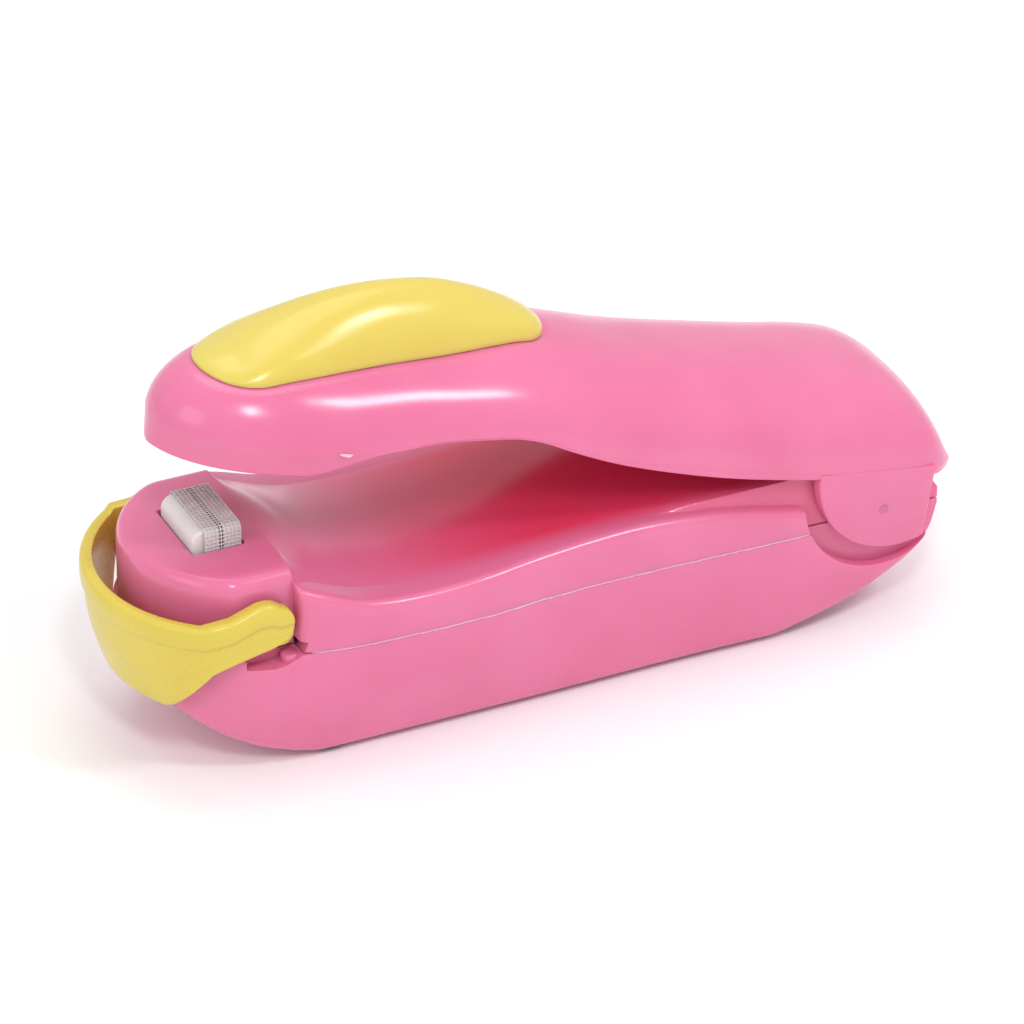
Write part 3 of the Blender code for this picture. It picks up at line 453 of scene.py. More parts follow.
def add_specks(material, place, scale, size):
    """Sparse round specks: 1 inside a speck, 0 elsewhere."""
    cells = add_node(material, "TexVoronoi", {"Scale": scale, "Vector": place})
    near = add_ramp(material, cells.outputs["Distance"], [(size * 0.6, 1.0), (size, 0.0)])
    pick = add_node(material, "SeparateColor", {"Color": cells.outputs["Color"]})
    return add_product(material, near, add_ramp(material, pick.outputs["Red"], [(0.86, 0.0), (0.88, 1.0)]))


def add_painted_fold_shade_mask(material, place):
    """Painted shade: the base's top, deep in the fold under the lever, is given a darker, redder colour in
    place of the shade and red interreflection there.
    """
    axes = add_node(material, "SeparateXYZ", {"Vector": place})
    across = add_node(material, "Math", {0: axes.outputs["Y"]}, operation="ABSOLUTE")
    spans = []
    for source, start, end, high in ((axes.outputs["X"], -0.036, 0.002, 0.85),
                                     (across.outputs["Value"], 0.0172, 0.0125, 1.0)):
        span = add_node(material, "MapRange", {}, interpolation_type="SMOOTHSTEP")
        fill(material, span, {"From Min": start, "From Max": end, "To Max": high, "Value": source})
        spans.append(span.outputs["Result"])
    return add_product(material, *spans)


def moulded_plastic(name, colour, deep, roughness, glow, glow_radius, grain=0.05, specks=True,
                    fold=None):
    """Glossy injection-moulded plastic: slight cloudiness, faint grain, a little dust, light inside. A fold
    colour, if given, is painted shade mixed in deep in the fold under the lever.
    """
    material, shader, place = start_material(name)
    cloud = add_ramp(material, add_noise(material, place, 55.0, 2.0), [(0.35, 0.0), (0.7, 1.0)])
    shade = add_mix(material, cloud, colour, deep)
    # Painted shade: a darker red mixed into the colour deep in the fold under the lever.
    if fold:
        shade = add_mix(material, add_painted_fold_shade_mask(material, place), shade, fold)
    if specks:
        dust = add_specks(material, place, 260.0, 0.035)
        shade = add_mix(material, dust, shade, tuple(c * 0.45 for c in deep))
    wear = add_ramp(material, add_noise(material, place, 900.0, 4.0),
                    [(0.3, roughness * 0.95), (0.75, roughness * 1.08)])
    ripple = add_bump(material, add_noise(material, place, 140.0, 1.0), 0.05, 0.0002)
    fine = add_bump(material, add_noise(material, place, 2600.0, 2.0), grain, 0.00005, ripple)
    fill(material, shader, {"Base Color": shade, "Roughness": wear, "Normal": fine, "IOR": 1.49,
                            "Subsurface Weight": glow, "Subsurface Radius": glow_radius,
                            "Subsurface Scale": 0.0025})
    return material


def metal(name, colour, roughness, stretch):
    """Drawn or stamped metal with fine lines along one direction."""
    material, shader, place = start_material(name)
    mapping = add_node(material, "Mapping", {"Scale": stretch, "Vector": place})
    lines = add_noise(material, mapping.outputs["Vector"], 1500.0, 3.0)
    tint = add_mix(material, add_noise(material, place, 300.0), colour, tuple(c * 0.72 for c in colour))
    fill(material, shader, {
        "Base Color": tint, "Metallic": 1.0, "Normal": add_bump(material, lines, 0.15, 0.00003),
        "Roughness": add_ramp(material, lines, [(0.3, roughness * 0.7), (0.8, roughness * 1.5)])})
    return material


def matt(name, colour, deep, roughness, grain_scale, grain, sheen=0.0):
    """Plain matt stuff with a visible grain: satin plastic, rubber, cloth, sleeving."""
    material, shader, place = start_material(name)
    height = add_noise(material, place, grain_scale, 4.0)
    uneven = [(0.3, roughness * 0.85), (0.75, min(roughness * 1.15, 1.0))]
    fill(material, shader, {
        "Base Color": add_mix(material, add_noise(material, place, grain_scale * 0.2), colour, deep),
        "Roughness": add_ramp(material, height, uneven),
        "Normal": add_bump(material, height, grain, 0.00006), "Sheen Weight": sheen})
    return material


PINK = moulded_plastic("pink_plastic_look", (0.735, 0.185, 0.345), (0.695, 0.16, 0.31), 0.20,
                       0.35, (1.0, 0.22, 0.30))
# The base's upper pink, with painted shade: a darker red deep in the fold under the lever.
PINK_WITH_PAINTED_FOLD_SHADE = moulded_plastic("pink_plastic_with_painted_fold_shade_look", (0.735, 0.185, 0.345), (0.695, 0.16, 0.31),
                            0.20, 0.35, (1.0, 0.22, 0.30), fold=(0.72, 0.022, 0.075))
YELLOW = moulded_plastic("yellow_plastic_look", (0.71, 0.57, 0.115), (0.68, 0.53, 0.095), 0.22,
                         0.25, (1.0, 0.7, 0.2), specks=False)
RING_YELLOW = moulded_plastic("ring_plastic_look", (0.68, 0.54, 0.075), (0.64, 0.50, 0.06), 0.28,
                              0.0, (1.0, 0.7, 0.2), grain=0.01, specks=False)
FLASH = moulded_plastic("flash_line_look", (0.96, 0.62, 0.74), (0.93, 0.48, 0.64), 0.45,
                        0.3, (1.0, 0.5, 0.6), specks=False)
WHITE = matt("white_plastic_look", (0.78, 0.76, 0.74), (0.70, 0.68, 0.66), 0.5, 900.0, 0.2)
THREAD = matt("glass_thread_look", (0.86, 0.84, 0.83), (0.55, 0.53, 0.53), 0.32, 3500.0, 0.3, sheen=0.2)
FOIL = matt("tape_backing_look", (0.50, 0.45, 0.46), (0.66, 0.60, 0.60), 0.4, 2500.0, 0.3)
SILICONE = matt("silicone_look", (0.50, 0.09, 0.06), (0.42, 0.07, 0.05), 0.7, 1800.0, 0.4, sheen=0.1)
STEEL = metal("spring_steel_look", (0.62, 0.62, 0.64), 0.30, (1.0, 1.0, 8.0))
BRASS = metal("contact_brass_look", (0.80, 0.60, 0.28), 0.32, (6.0, 1.0, 1.0))
NICHROME = metal("nichrome_look", (0.16, 0.15, 0.14), 0.45, (1.0, 8.0, 1.0))
CELL = moulded_plastic("cell_jacket_look", (0.045, 0.05, 0.06), (0.03, 0.03, 0.04), 0.3,
                       0.0, (1.0, 1.0, 1.0))
LEAD = moulded_plastic("lead_insulation_look", (0.50, 0.02, 0.02), (0.42, 0.015, 0.015), 0.4,
                       0.1, (1.0, 0.2, 0.2), grain=0.3)

# The CAD's own pieces that stay in the picture take these looks.
CARRIED_OVER = {"hinge_pin": STEEL, "heater_spring": STEEL, "lever_spring": STEEL,
                "battery_spring_front": STEEL, "battery_spring_rear": STEEL,
                "link_plate": BRASS, "anvil_holder": WHITE, "anvil_pad": SILICONE}
CARRIED_OVER.update({f"shell_screw_{number}": STEEL for number in range(1, 5)})
for side in SIDE_NAMES.values():
    CARRIED_OVER.update({f"heater_tab_{side}": BRASS, f"contact_blade_{side}": BRASS,
                         f"contact_plate_{side}": BRASS, f"battery_cell_{side}": CELL, f"lead_{side}": LEAD})
for node, look in CARRIED_OVER.items():
    for material_slot in NODES[node].material_slots:
        material_slot.material = look


# ---- base shells --------------------------------------------------------
SHOULDER_ROUND = 1.3          # rounds the body's upright edges at the shoulder and the rear
BODY_WALL = 2.0
SEAM_GAP = 0.3


def nose_half_width(x):
    """A round nose that runs into straight cheeks, the join between them softened."""
    round_part = arc_half_width(x, NOSE_RADIUS)
    soft = 0.5
    blend = max(soft - abs(round_part - NOSE_HALF_WIDTH), 0.0) / soft
    return min(round_part, NOSE_HALF_WIDTH) - blend**2 * soft / 4


def body_outline(x):
    """The body's half-width, with rounded upright edges at the shoulder and the rear."""
    half = body_half_width(x)
    for reach in (x - STEP_X, REAR_X - x):
        if reach < SHOULDER_ROUND:
            inside = SHOULDER_ROUND - max(reach, 0.0)
            half -= SHOULDER_ROUND - math.sqrt(max(SHOULDER_ROUND**2 - inside**2, 0.0))
    return half


def nose_section(x):
    """Side wall, a large rounded edge and a flat platform."""
    half = nose_half_width(min(x, STEP_X - 0.1))
    radius = min(2.4, half * 0.5)
    top = PLATFORM_Z - 0.5 * (1 - smooth_step(half, 2.0, 13.0))
    low = seam(x) + SEAM_GAP / 2
    edge = top - 0.15
    half_section = [(half, low)] + straight((half, low), (half, edge - radius), 8)
    half_section += corner(half - radius, edge - radius, radius, 0, 90, 10)
    inner = half - radius
    half_section += [(inner * share, edge + 0.15 * (1 - share**4))
                     for share in np.linspace(0.97, 0.0, 22)]
    return half_section


def body_section(x):
    """Side wall, a rounded edge, a narrow ledge, the spine's wall and its crown."""
    half, edge, top = body_outline(x), body_edge(x), body_top(x)
    edge = min(edge, top - 0.3)
    radius = min(1.5, (edge - seam(x)) * 0.5)
    wall = max(0.0, top - 1.2 - edge) * smooth_step(x, 2.0, 12.0)
    spine = min(SPINE_HALF_WIDTH, half - radius - 0.2)
    low = seam(x) + SEAM_GAP / 2
    half_section = [(half, low)] + straight((half, low), (half, edge - radius), 8)
    half_section += corner(half - radius, edge - radius, radius, 0, 90, 10)
    crown = top - edge - wall
    foot = edge + 0.03
    for share in np.linspace(0.0, 1.0, 6):
        half_section.append((spine + 0.25 - 0.45 * share, foot + wall * smooth_step(share, 0.0, 1.0)))
    inner = spine - 0.2
    half_section += [(inner * share, foot + wall + crown * (1 - share**2))
                     for share in np.linspace(0.96, 0.0, 16)]
    return half_section


def upper_section(x):
    """The nose ahead of the shoulder; behind it, the platform melts into the body's top."""
    if x < STEP_X:
        return mirrored(nose_section(x), x)
    nose, body = nose_section(STEP_X), body_section(x)
    section = []
    wall_points = 19
    for index, (ahead, behind) in enumerate(zip(nose, body)):
        inward = max(index - wall_points, 0) / (len(body) - wall_points)
        share = smooth_step(x - STEP_X, 0.0, 0.02 + 6.0 * inward**0.6)
        section.append((ahead[0] + (behind[0] - ahead[0]) * share,
                        ahead[1] + (behind[1] - ahead[1]) * share))
    return mirrored(section, x)


def plain_section(x, half, low, high):
    """A plain section with rounded corners, for the hollows."""
    radius = 0.8
    ring = corner(half - radius, low + radius, radius, -90, 0, 4)
    ring += corner(half - radius, high - radius, radius, 0, 90, 3)
    return mirrored(ring, x)


def round_stations(radius, first_deg, last_deg, count):
    """Stations along X that follow the round nose evenly by angle."""
    return [NOSE_CENTRE_X - radius * math.cos(math.radians(a))
            for a in np.linspace(first_deg, last_deg, count)]


def rounded_end_stations(start, direction, count=7):
    """Stations that crowd towards an end with a rounded upright edge."""
    return [start + direction * SHOULDER_ROUND * (1 - math.cos(a))
            for a in np.linspace(0.02, math.pi / 2, count)]


BAY_FRONT_X, BAY_REAR_X, BAY_HALF_WIDTH = -23.2, 36.6, 15.0
RIB_THICK, RIB_TOP_Z = 1.4, 14.5
SCREWS = [(-35.0, -12.5), (-35.0, 12.5), (44.0, -9.5), (44.0, 9.5)]
POST_RADIUS, COUNTERBORE_RADIUS, SCREW_HOLE_RADIUS = 3.4, 2.9, 1.6
BODY_STATIONS = (rounded_end_stations(STEP_X, 1) + list(np.arange(-39.2, REAR_X - 1.6, 0.7))
                 + rounded_end_stations(REAR_X, -1)[::-1])


def pocket_cutter(side):
    """The round pocket that the lever's ear turns in, with a rounded rim."""
    rim = 0.45
    depth = FLANK_Y - EAR_INNER_Y + SEAM_GAP - rim
    profile = [(0, POCKET_RADIUS), (depth, POCKET_RADIUS)]
    profile += [(depth + rim * math.sin(a), POCKET_RADIUS + rim * (1 - math.cos(a)))
                for a in np.linspace(0.3, math.pi / 2, 5)]
    profile.append((6.0, POCKET_RADIUS + rim))
    return turned("pocket", profile, (POCKET_X, side * (EAR_INNER_Y - SEAM_GAP), POCKET_Z),
                  (0, side, 0), segments=120)


def slot_cutter(side):
    """The slot under the guard ring's arm: square in front, curving up to the seam behind."""
    outline = [(-48.6, 17.6), (-44.6, 17.45), (-42.9, 17.8), (-41.4, 18.6), (-40.3, 19.4),
               (-39.9, 20.9), (-48.6, 20.9)]
    return loft("slot", [[(x, y, z) for x, z in outline] for y in sorted((side * 15.4, side * 22))])


def pin_hole(half_length, on_lever=False):
    """A cutter for the hinge pin's hole."""
    return rod("pin_hole", (PIVOT_X, -half_length, PIVOT_Z), (PIVOT_X, half_length, PIVOT_Z),
               PIN_HOLE_RADIUS, on_lever)


def cut_for_moving_pieces(casing):
    """Takes the ears' pockets, the slots under the ring's arms and the pin's hole out of a shell."""
    return cut(casing, pocket_cutter(-1), pocket_cutter(1), slot_cutter(-1), slot_cutter(1), pin_hole(19))


def ring_stems(name, inner_y, outer_y, radius):
    """A round stem on each side, where the guard ring's pegs sit in the base."""
    return [rod(name, (RING_PEG_X, side * inner_y, RING_PEG_Z), (RING_PEG_X, side * outer_y, RING_PEG_Z),
                radius) for side in (-1, 1)]


def make_upper_casing():
    nose = round_stations(NOSE_RADIUS, 2, 62, 40) + list(np.linspace(-49.4, STEP_X - 0.01, 20))
    casing = loft("upper_casing", [upper_section(x) for x in nose + BODY_STATIONS])
    hollow = []
    for x in round_stations(NOSE_RADIUS - BODY_WALL, 12, 60, 8) + [-45.0, -42.5]:
        half = min(NOSE_HALF_WIDTH - BODY_WALL, arc_half_width(x, NOSE_RADIUS - BODY_WALL))
        hollow.append(plain_section(x, half, 15, PLATFORM_EDGE_Z - 1.6))
    for x in (-38.8, -35, -30, -24, -15, -6, 2):
        hollow.append(plain_section(x, body_half_width(x) - BODY_WALL, 15, body_edge(x) - 1.7))
    for x in (10, 20, 30, 40, 50, 55, 57.5):
        hollow.append(plain_section(x, SPINE_HALF_WIDTH - SPINE_WALL, 15, body_top(x + 1.5) - BODY_WALL))
    casing = cut(casing, loft("hollow", hollow))
    slot_x, slot_y = HEATER_HALF_X + SEAM_GAP, 6.75
    casing = cut(casing, rounded_block("heater_slot", (HEATER_X - slot_x, -slot_y, 27),
                                       (HEATER_X + slot_x, slot_y, 33.5), 0.5))
    return cut(cut_for_moving_pieces(casing), *ring_stems("ring_hole", 13, 17, RING_HOLE_RADIUS))


def lower_half_width(x):
    if x < NOSE_CENTRE_X:
        return arc_half_width(x, BOW_RADIUS)
    if x > STEP_X + SHOULDER_ROUND:
        return body_outline(x)
    return max(body_outline(STEP_X + SHOULDER_ROUND), BOW_RADIUS)


def lower_section(x):
    """A hull section: round bilges, and walls that lean out from a narrower foot to the seam."""
    half, low, top = lower_half_width(x), body_bottom(x), seam(x) - SEAM_GAP / 2
    foot = half - (body_half_width(x) - body_foot_width(x)) * min(half / 18.0, 1.0)
    radius = min(3.2, (top - low) * 0.45, half * 0.45)
    ring = [(share * (foot - radius), low) for share in np.linspace(0.1, 0.95, 9)]
    ring += corner(foot - radius, low + radius, radius, -90, 0, 12)
    for share in np.linspace(0.1, 0.95, 10):
        ring.append((foot + (half - foot) * math.sin(share * math.pi / 2)**0.9,
                     low + radius + (top - 0.12 - low - radius) * share))
    ring += [(half, top - 0.12), (half - 0.04, top - 0.03), (half - 0.12, top)]
    return mirrored(ring, x)


BOW_WALL = 2.4


def make_lower_casing():
    stations = round_stations(BOW_RADIUS, 3, 88, 60) + list(np.arange(-40.8, REAR_X - 1.6, 0.8))
    stations += rounded_end_stations(REAR_X, -1)[::-1]
    casing = loft("lower_casing", [lower_section(x) for x in stations])
    hollow = []
    straight_stations = [-44, -40, -36, -24, -10, 4, 20, 34, 40, 47, 53, 57]
    for x in round_stations(BOW_RADIUS - BOW_WALL, 12, 60, 5) + straight_stations:
        half = min(arc_half_width(x, BOW_RADIUS - BOW_WALL), 13.6) if x < -39 else BAY_HALF_WIDTH
        if x > 38:
            half = SPINE_HALF_WIDTH - SPINE_WALL
        floor = max(body_bottom(x - 1), body_bottom(x + 1)) + 2.3
        hollow.append(plain_section(x, half, floor, SEAM_Z + 3))
    casing = cut(casing, loft("hollow", hollow))
    rib_reach = BAY_HALF_WIDTH + 0.4
    ribs = [rounded_block("rib", (BAY_FRONT_X - RIB_THICK, -rib_reach, 1.5),
                          (BAY_FRONT_X, rib_reach, RIB_TOP_Z), 0),
            rounded_block("rib", (BAY_REAR_X, -rib_reach, 2.6),
                          (BAY_REAR_X + RIB_THICK, rib_reach, RIB_TOP_Z), 0),
            rod("spring_post", (HEATER_X, 0, 5.4), (HEATER_X, 0, 19.0), 3.2)]
    for x, y in SCREWS:
        top = seam(x + POST_RADIUS) - SEAM_GAP / 2
        ribs.append(rod("post", (x, y, body_bottom(x) + 1.6), (x, y, top), POST_RADIUS))
    casing = join(casing, *ribs)
    half = (DOOR_HIGH.y - DOOR_LOW.y) / 2 - DOOR_TONGUE
    front = DOOR_LOW.x - SHIFT
    channel = [rounded_block("channel", (front - 0.3, -half - 0.3, -1), (66, half + 0.3, 1.8), 0),
               rounded_block("groove", (front - 0.3, -half - 1.4, 0.75), (66, half + 1.4, 1.8), 0),
               rounded_block("bay", (front + 0.5, -half, -1), (BAY_REAR_X - 0.4, half, 4), 0)]
    for x, y in SCREWS:
        channel.append(rod("counterbore", (x, y, -1), (x, y, body_bottom(x) + 5.2), COUNTERBORE_RADIUS))
        channel.append(rod("screw_hole", (x, y, 1), (x, y, SEAM_Z + 1), SCREW_HOLE_RADIUS))
    casing = cut_for_moving_pieces(cut(casing, *channel))
    boss_x, boss_y = -41.9, 16.6
    bosses = [rounded_rod("boss", (boss_x, side * boss_y, 13.5), (boss_x, side * boss_y, 18.9), 1.4, 0.5)
              for side in (-1, 1)]
    return join(casing, *bosses)


def make_seam_flash(side):
    """The thin ragged line of flash that stands along the seam between the shells."""
    draw = random.Random(7 + side)
    sections = []
    thick, ragged = 0.07, 0.0
    for x in np.arange(-39.4, 38.8, 0.25):
        ragged = 0.8 * ragged + draw.uniform(-0.035, 0.035)
        fade = min(1.0, (x + 39.6) / 2, (38.9 - x) / 2)
        high = (0.055 + abs(ragged) * 0.6) * fade + 0.02
        out = thick * fade * (0.6 + draw.random() * 0.5)
        half = body_outline(x)
        middle = seam(x) + ragged * 0.6
        inner_y, outer_y = side * (half - 0.5), side * (half + out)
        sections.append([(x, inner_y, middle - high), (x, outer_y, middle - high * 0.6),
                         (x, outer_y, middle + high * 0.6), (x, inner_y, middle + high)])
    return loft(f"seam_flash_{SIDE_NAMES[side]}", sections)


# The upper casing wears the pink with painted shade in the fold under the lever.
finish_piece(make_upper_casing(), "base", PINK_WITH_PAINTED_FOLD_SHADE, "pink_plastic", "base_upper_shell")
finish_piece(make_lower_casing(), "base", PINK, "pink_plastic", "base_lower_shell")
for side in (-1, 1):
    finish_piece(make_seam_flash(side), "base", FLASH, "pink_plastic")


# ---- lever --------------------------------------------------------------
PAD_STATIONS = [PAD_FRONT_X + (PAD_REAR_X - PAD_FRONT_X) * (1 - math.cos(a)) / 2
                for a in np.linspace(0, math.pi, 160)]
PAD_OUTLINE = np.array([(x, pad_half_width(x)) for x in PAD_STATIONS]
                       + [(x, -pad_half_width(x)) for x in PAD_STATIONS[::-1]])


def to_pad_edge(points):
    """Distance of plan points from the thumb pad's outline, always positive."""
    points = np.array(points, float)[:, :2]
    starts, ends = PAD_OUTLINE, np.roll(PAD_OUTLINE, -1, axis=0)
    spans = ends - starts
    lengths = np.maximum((spans**2).sum(axis=1), 1e-9)
    nearest = np.full(len(points), np.inf)
    for start, span, length in zip(starts, spans, lengths):
        share = np.clip(((points - start) @ span) / length, 0, 1)
        gap = points - start - share[:, None] * span
        nearest = np.minimum(nearest, (gap**2).sum(axis=1))
    return np.sqrt(nearest)


CREASE = math.radians(6)
RECESS_DEPTH = 0.5            # how far the deck sinks under the thumb pad


def flank_power(x):
    """How full the flank's curve is: an ellipse in front, squarer behind."""
    return 2 / (2.0 + 0.4 * smooth_step(x, -10, 20))


def flank_point(x, share, half, top, ridge):
    """A point of the flank, from the ridge (share 0) over to the crown (share 1)."""
    power = flank_power(x)
    angle = CREASE + (math.pi / 2 - CREASE) * share
    rise = (math.sin(angle) - math.sin(CREASE)) / (1 - math.sin(CREASE))
    return half * (math.cos(angle) / math.cos(CREASE))**power, ridge + (top - ridge) * rise**power


def lever_section(x, half, top, ridge, low):
    """A thin upright lip, the creased ridge and the curved flank."""
    lean = 0.7 * min(max(ridge - low - 0.6, 0.0) / 3.5, 1.0)
    foot = half - min(lean, half * 0.2)
    bottom = min(0.35, half * 0.2)
    ring = [(max(foot - bottom - 0.3, foot * 0.3), low)]
    ring += corner(foot - bottom, low + bottom, bottom, -70, 0, 4)
    ring += straight((foot, low + bottom), (half - 0.08, ridge - 0.28), 4)
    ring += [(half - 0.05, ridge - 0.24), (half, ridge - 0.1)]
    for share in np.linspace(0.02, 1.0, 34):
        y, z = flank_point(x, share, half, top, ridge)
        ring.append((max(y - 0.05 * (1 - share), 0.0), z))
    ring[-1] = (0.0, top)
    return mirrored(ring, x)


def make_lever_casing():
    nose = [LEVER_NOSE_END_X - (LEVER_NOSE_END_X - LEVER_TIP_X) * math.sin(math.radians(a))
            for a in np.concatenate([np.linspace(88.8, 80, 8), np.linspace(78, 1, 50)])]
    stations = nose + list(np.arange(-32.9, 4.0, 0.45)) + list(np.arange(4.2, 60.0, 0.7))
    stations += list(np.linspace(60.2, 62.6, 10))
    sections = []
    for x in stations:
        ridge = lever_ridge(x)
        section = np.array(lever_section(x, lever_half_width(x), lever_top(x), ridge, lever_bottom(x)))
        upper = section[:, 2] > ridge + 1.0
        if -56 < x < 4 and upper.any():
            pad_half = pad_half_width(x) if PAD_FRONT_X < x < PAD_REAR_X else 0.0
            inside = np.abs(section[:, 1]) < pad_half
            edge_fall = np.clip(1 - to_pad_edge(section) / 1.5, 0, 1)**1.5
            section[:, 2] -= np.where(upper, RECESS_DEPTH * np.where(inside, 1.0, edge_fall), 0.0)
        sections.append([tuple(point) for point in section])
    casing = loft("lever_casing", sections, on_lever=True)

    hollow = []
    inner_tip = LEVER_TIP_X + LEVER_WALL + 0.3
    for angle in (84, 78, 70, 60, 50, 40, 30, 20, 10, 0):
        x = LEVER_NOSE_END_X - (LEVER_NOSE_END_X - inner_tip) * math.sin(math.radians(angle))
        half = (LEVER_NOSE_HALF_WIDTH - LEVER_WALL) * math.cos(math.radians(angle))
        reach = min(max((LEVER_TOP_Z[0][0] - x) / (LEVER_TOP_Z[0][0] - inner_tip), 0), 0.998)
        top = RIDGE_Z + (DECK_Z - LEVER_WALL - DECK_EXTRA_WALL - RIDGE_Z) * math.sqrt(1 - reach**2)
        hollow.append(inner_section(x, half, top, RIDGE_Z, 24))
    for x in list(np.arange(-30, 57, 3.0)) + [58.2, 59.4, 60.6]:
        top = lever_top(x + (1.2 if x > 45 else 0.0)) - LEVER_WALL - (DECK_EXTRA_WALL if x < 3 else 0.0)
        ridge = min(lever_ridge(x), top - 1.0)
        hollow.append(inner_section(x, min(lever_half_width(x), FLANK_Y) - LEVER_WALL, top, ridge, 10))
    casing = cut(casing, loft("hollow", hollow, on_lever=True))
    casing = join(casing, *[make_ear(side) for side in (-1, 1)])
    trims = [pin_hole(17.5, on_lever=True)]
    trims += [rod("peg_hole", (x, 0, 38), (x, 0, 48), 1.7, on_lever=True) for x in (-40, -14)]
    trims += [dimple(side) for side in (-1, 1)]
    return cut(casing, *trims)


def inner_section(x, half, top, ridge, low):
    """The lever's hollow: upright sides and an arched roof."""
    power = flank_power(x)
    ring = [(half, low), (half, ridge)]
    for share in np.linspace(0.08, 0.95, 10):
        angle = share * math.pi / 2
        ring.append((half * math.cos(angle)**power, ridge + (top - ridge) * math.sin(angle)**power))
    ring.append((0, top))
    return mirrored(ring, x)


def make_ear(side):
    """The round ear that hangs from the lever's flank into the base's pocket."""
    flat_x, top_z = 58.1, 25.3
    start = math.asin((top_z - EAR_Z) / EAR_RADIUS)
    outline = [(EAR_X + EAR_RADIUS * math.cos(a), EAR_Z + EAR_RADIUS * math.sin(a))
               for a in np.linspace(math.pi - start, 2 * math.pi + start, 90)]
    outline = [(min(x, flat_x), z) for x, z in outline]
    kept = outline[:1]
    for x, z in outline[1:]:
        if abs(x - kept[-1][0]) + abs(z - kept[-1][1]) > 0.05:
            kept.append((x, z))
    centre = np.mean(kept, axis=0)
    sections = []
    rim = 0.3
    for out, level in ((0.0, EAR_INNER_Y), (0.0, EAR_OUTER_Y - rim), (0.04, EAR_OUTER_Y - rim * 0.6),
                       (0.14, EAR_OUTER_Y - rim * 0.2), (0.3, EAR_OUTER_Y)):
        ring = []
        for x, z in kept:
            reach = math.hypot(x - centre[0], z - centre[1])
            share = (reach - out) / reach if z < top_z - 0.5 else 1.0
            ring.append((centre[0] + (x - centre[0]) * share, side * (level + 0.01),
                         centre[1] + (z - centre[1]) * share))
        sections.append(ring)
    return loft("ear", sections, on_lever=True)


def dimple(side):
    """A cutter for the small round dimple over the hinge pin's end."""
    profile = [(0.0, 0.02), (0.1, 0.4), (0.2, 0.62), (0.32, 0.78), (0.6, 0.85), (1.2, 0.9)]
    return turned("dimple", profile, (PIVOT_X, side * 17.62, PIVOT_Z), (0, side, 0), on_lever=True,
                  segments=32)


def make_thumb_pad():
    """A glossy dome with a rounded rim, standing in the deck's shallow recess."""
    centre = np.array([-27.0, 0.0])
    rim_round = 1.5
    rings = list(np.linspace(0.0, 0.86, 26)[1:])
    rings += list(1 - 0.14 * (1 - np.linspace(0.0, 1.0, 16)[1:])**1.6)
    count = len(PAD_OUTLINE)
    plan = np.concatenate([centre + (PAD_OUTLINE - centre) * share for share in rings])
    points = []
    for (x, y), inside in zip(plan, to_pad_edge(plan)):
        half = max(pad_half_width(x), 0.05)
        rise = 0.3 + 1.13 * smooth_step(x, -52.5, -40.0)
        lift = rise * math.sqrt(max(1 - (1 - min(inside / rim_round, 1.0))**2, 0.0))
        dome = max(pad_crown(x) - deck_height(x, 0) - rise, 0.0)
        fall = max(1 - (abs(y) / half)**2.1, 0.0)
        points.append((x, y, deck_height(x, y) + lift + dome * fall))
    last = len(points) - count
    faces = []
    for start in range(0, last, count):
        faces += band(start, start + count, count)
    faces += fan(0, len(points), count)
    points.append((centre[0], 0.0, pad_crown(centre[0])))
    for share, level in ((1.0, -0.12), (1.0, -0.3), (0.8, -0.2), (0.5, -0.2), (0.2, -0.2)):
        faces += band(last, len(points), count)
        last = len(points)
        under = centre + (PAD_OUTLINE - centre) * share
        points += [(x, y, deck_height(x, y) + level) for x, y in under]
    faces += fan(last, len(points), count)
    points.append((centre[0], 0.0, deck_height(centre[0], 0) - 0.2))
    return mesh_object("thumb_pad_cap", points, faces, on_lever=True)


def deck_height(x, y):
    """Height of the lever's outer surface over a plan point."""
    half, top, ridge = lever_half_width(x), lever_top(x), lever_ridge(x)
    power = flank_power(x)
    cosine = min(abs(y) / half, 1.0)**(1 / power) * math.cos(CREASE)
    sine = math.sqrt(max(1 - cosine**2, 0.0))
    rise = max((sine - math.sin(CREASE)) / (1 - math.sin(CREASE)), 0.0)
    return ridge + (top - ridge) * rise**power


def make_nick():
    """The small pale nick in the lever's ridge, by the near side of the nose."""
    x = -35.6
    half, ridge = lever_half_width(x), lever_ridge(x)
    points = [(x - 1.0, -half + 0.02, ridge + 0.05), (x - 0.5, -half - 0.12, ridge - 0.02),
              (x + 0.4, -half - 0.15, ridge - 0.22), (x + 1.0, -half + 0.02, ridge - 0.15)]
    return tube("ridge_nick", points, [0.06, 0.22, 0.24, 0.08], 8, on_lever=True)


finish_piece(make_lever_casing(), "lever", PINK, "pink_plastic", "lever_shell")
finish_piece(make_thumb_pad(), "lever", YELLOW, "yellow_plastic", "thumb_pad", sharp_deg=50)
finish_piece(make_nick(), "lever", FLASH, "pink_plastic")


# ---- guard ring ---------------------------------------------------------
RING_TOP_Z = 26.5
RING_ARM_END_X = -41.8
RING_TONGUE_Z = 11.1


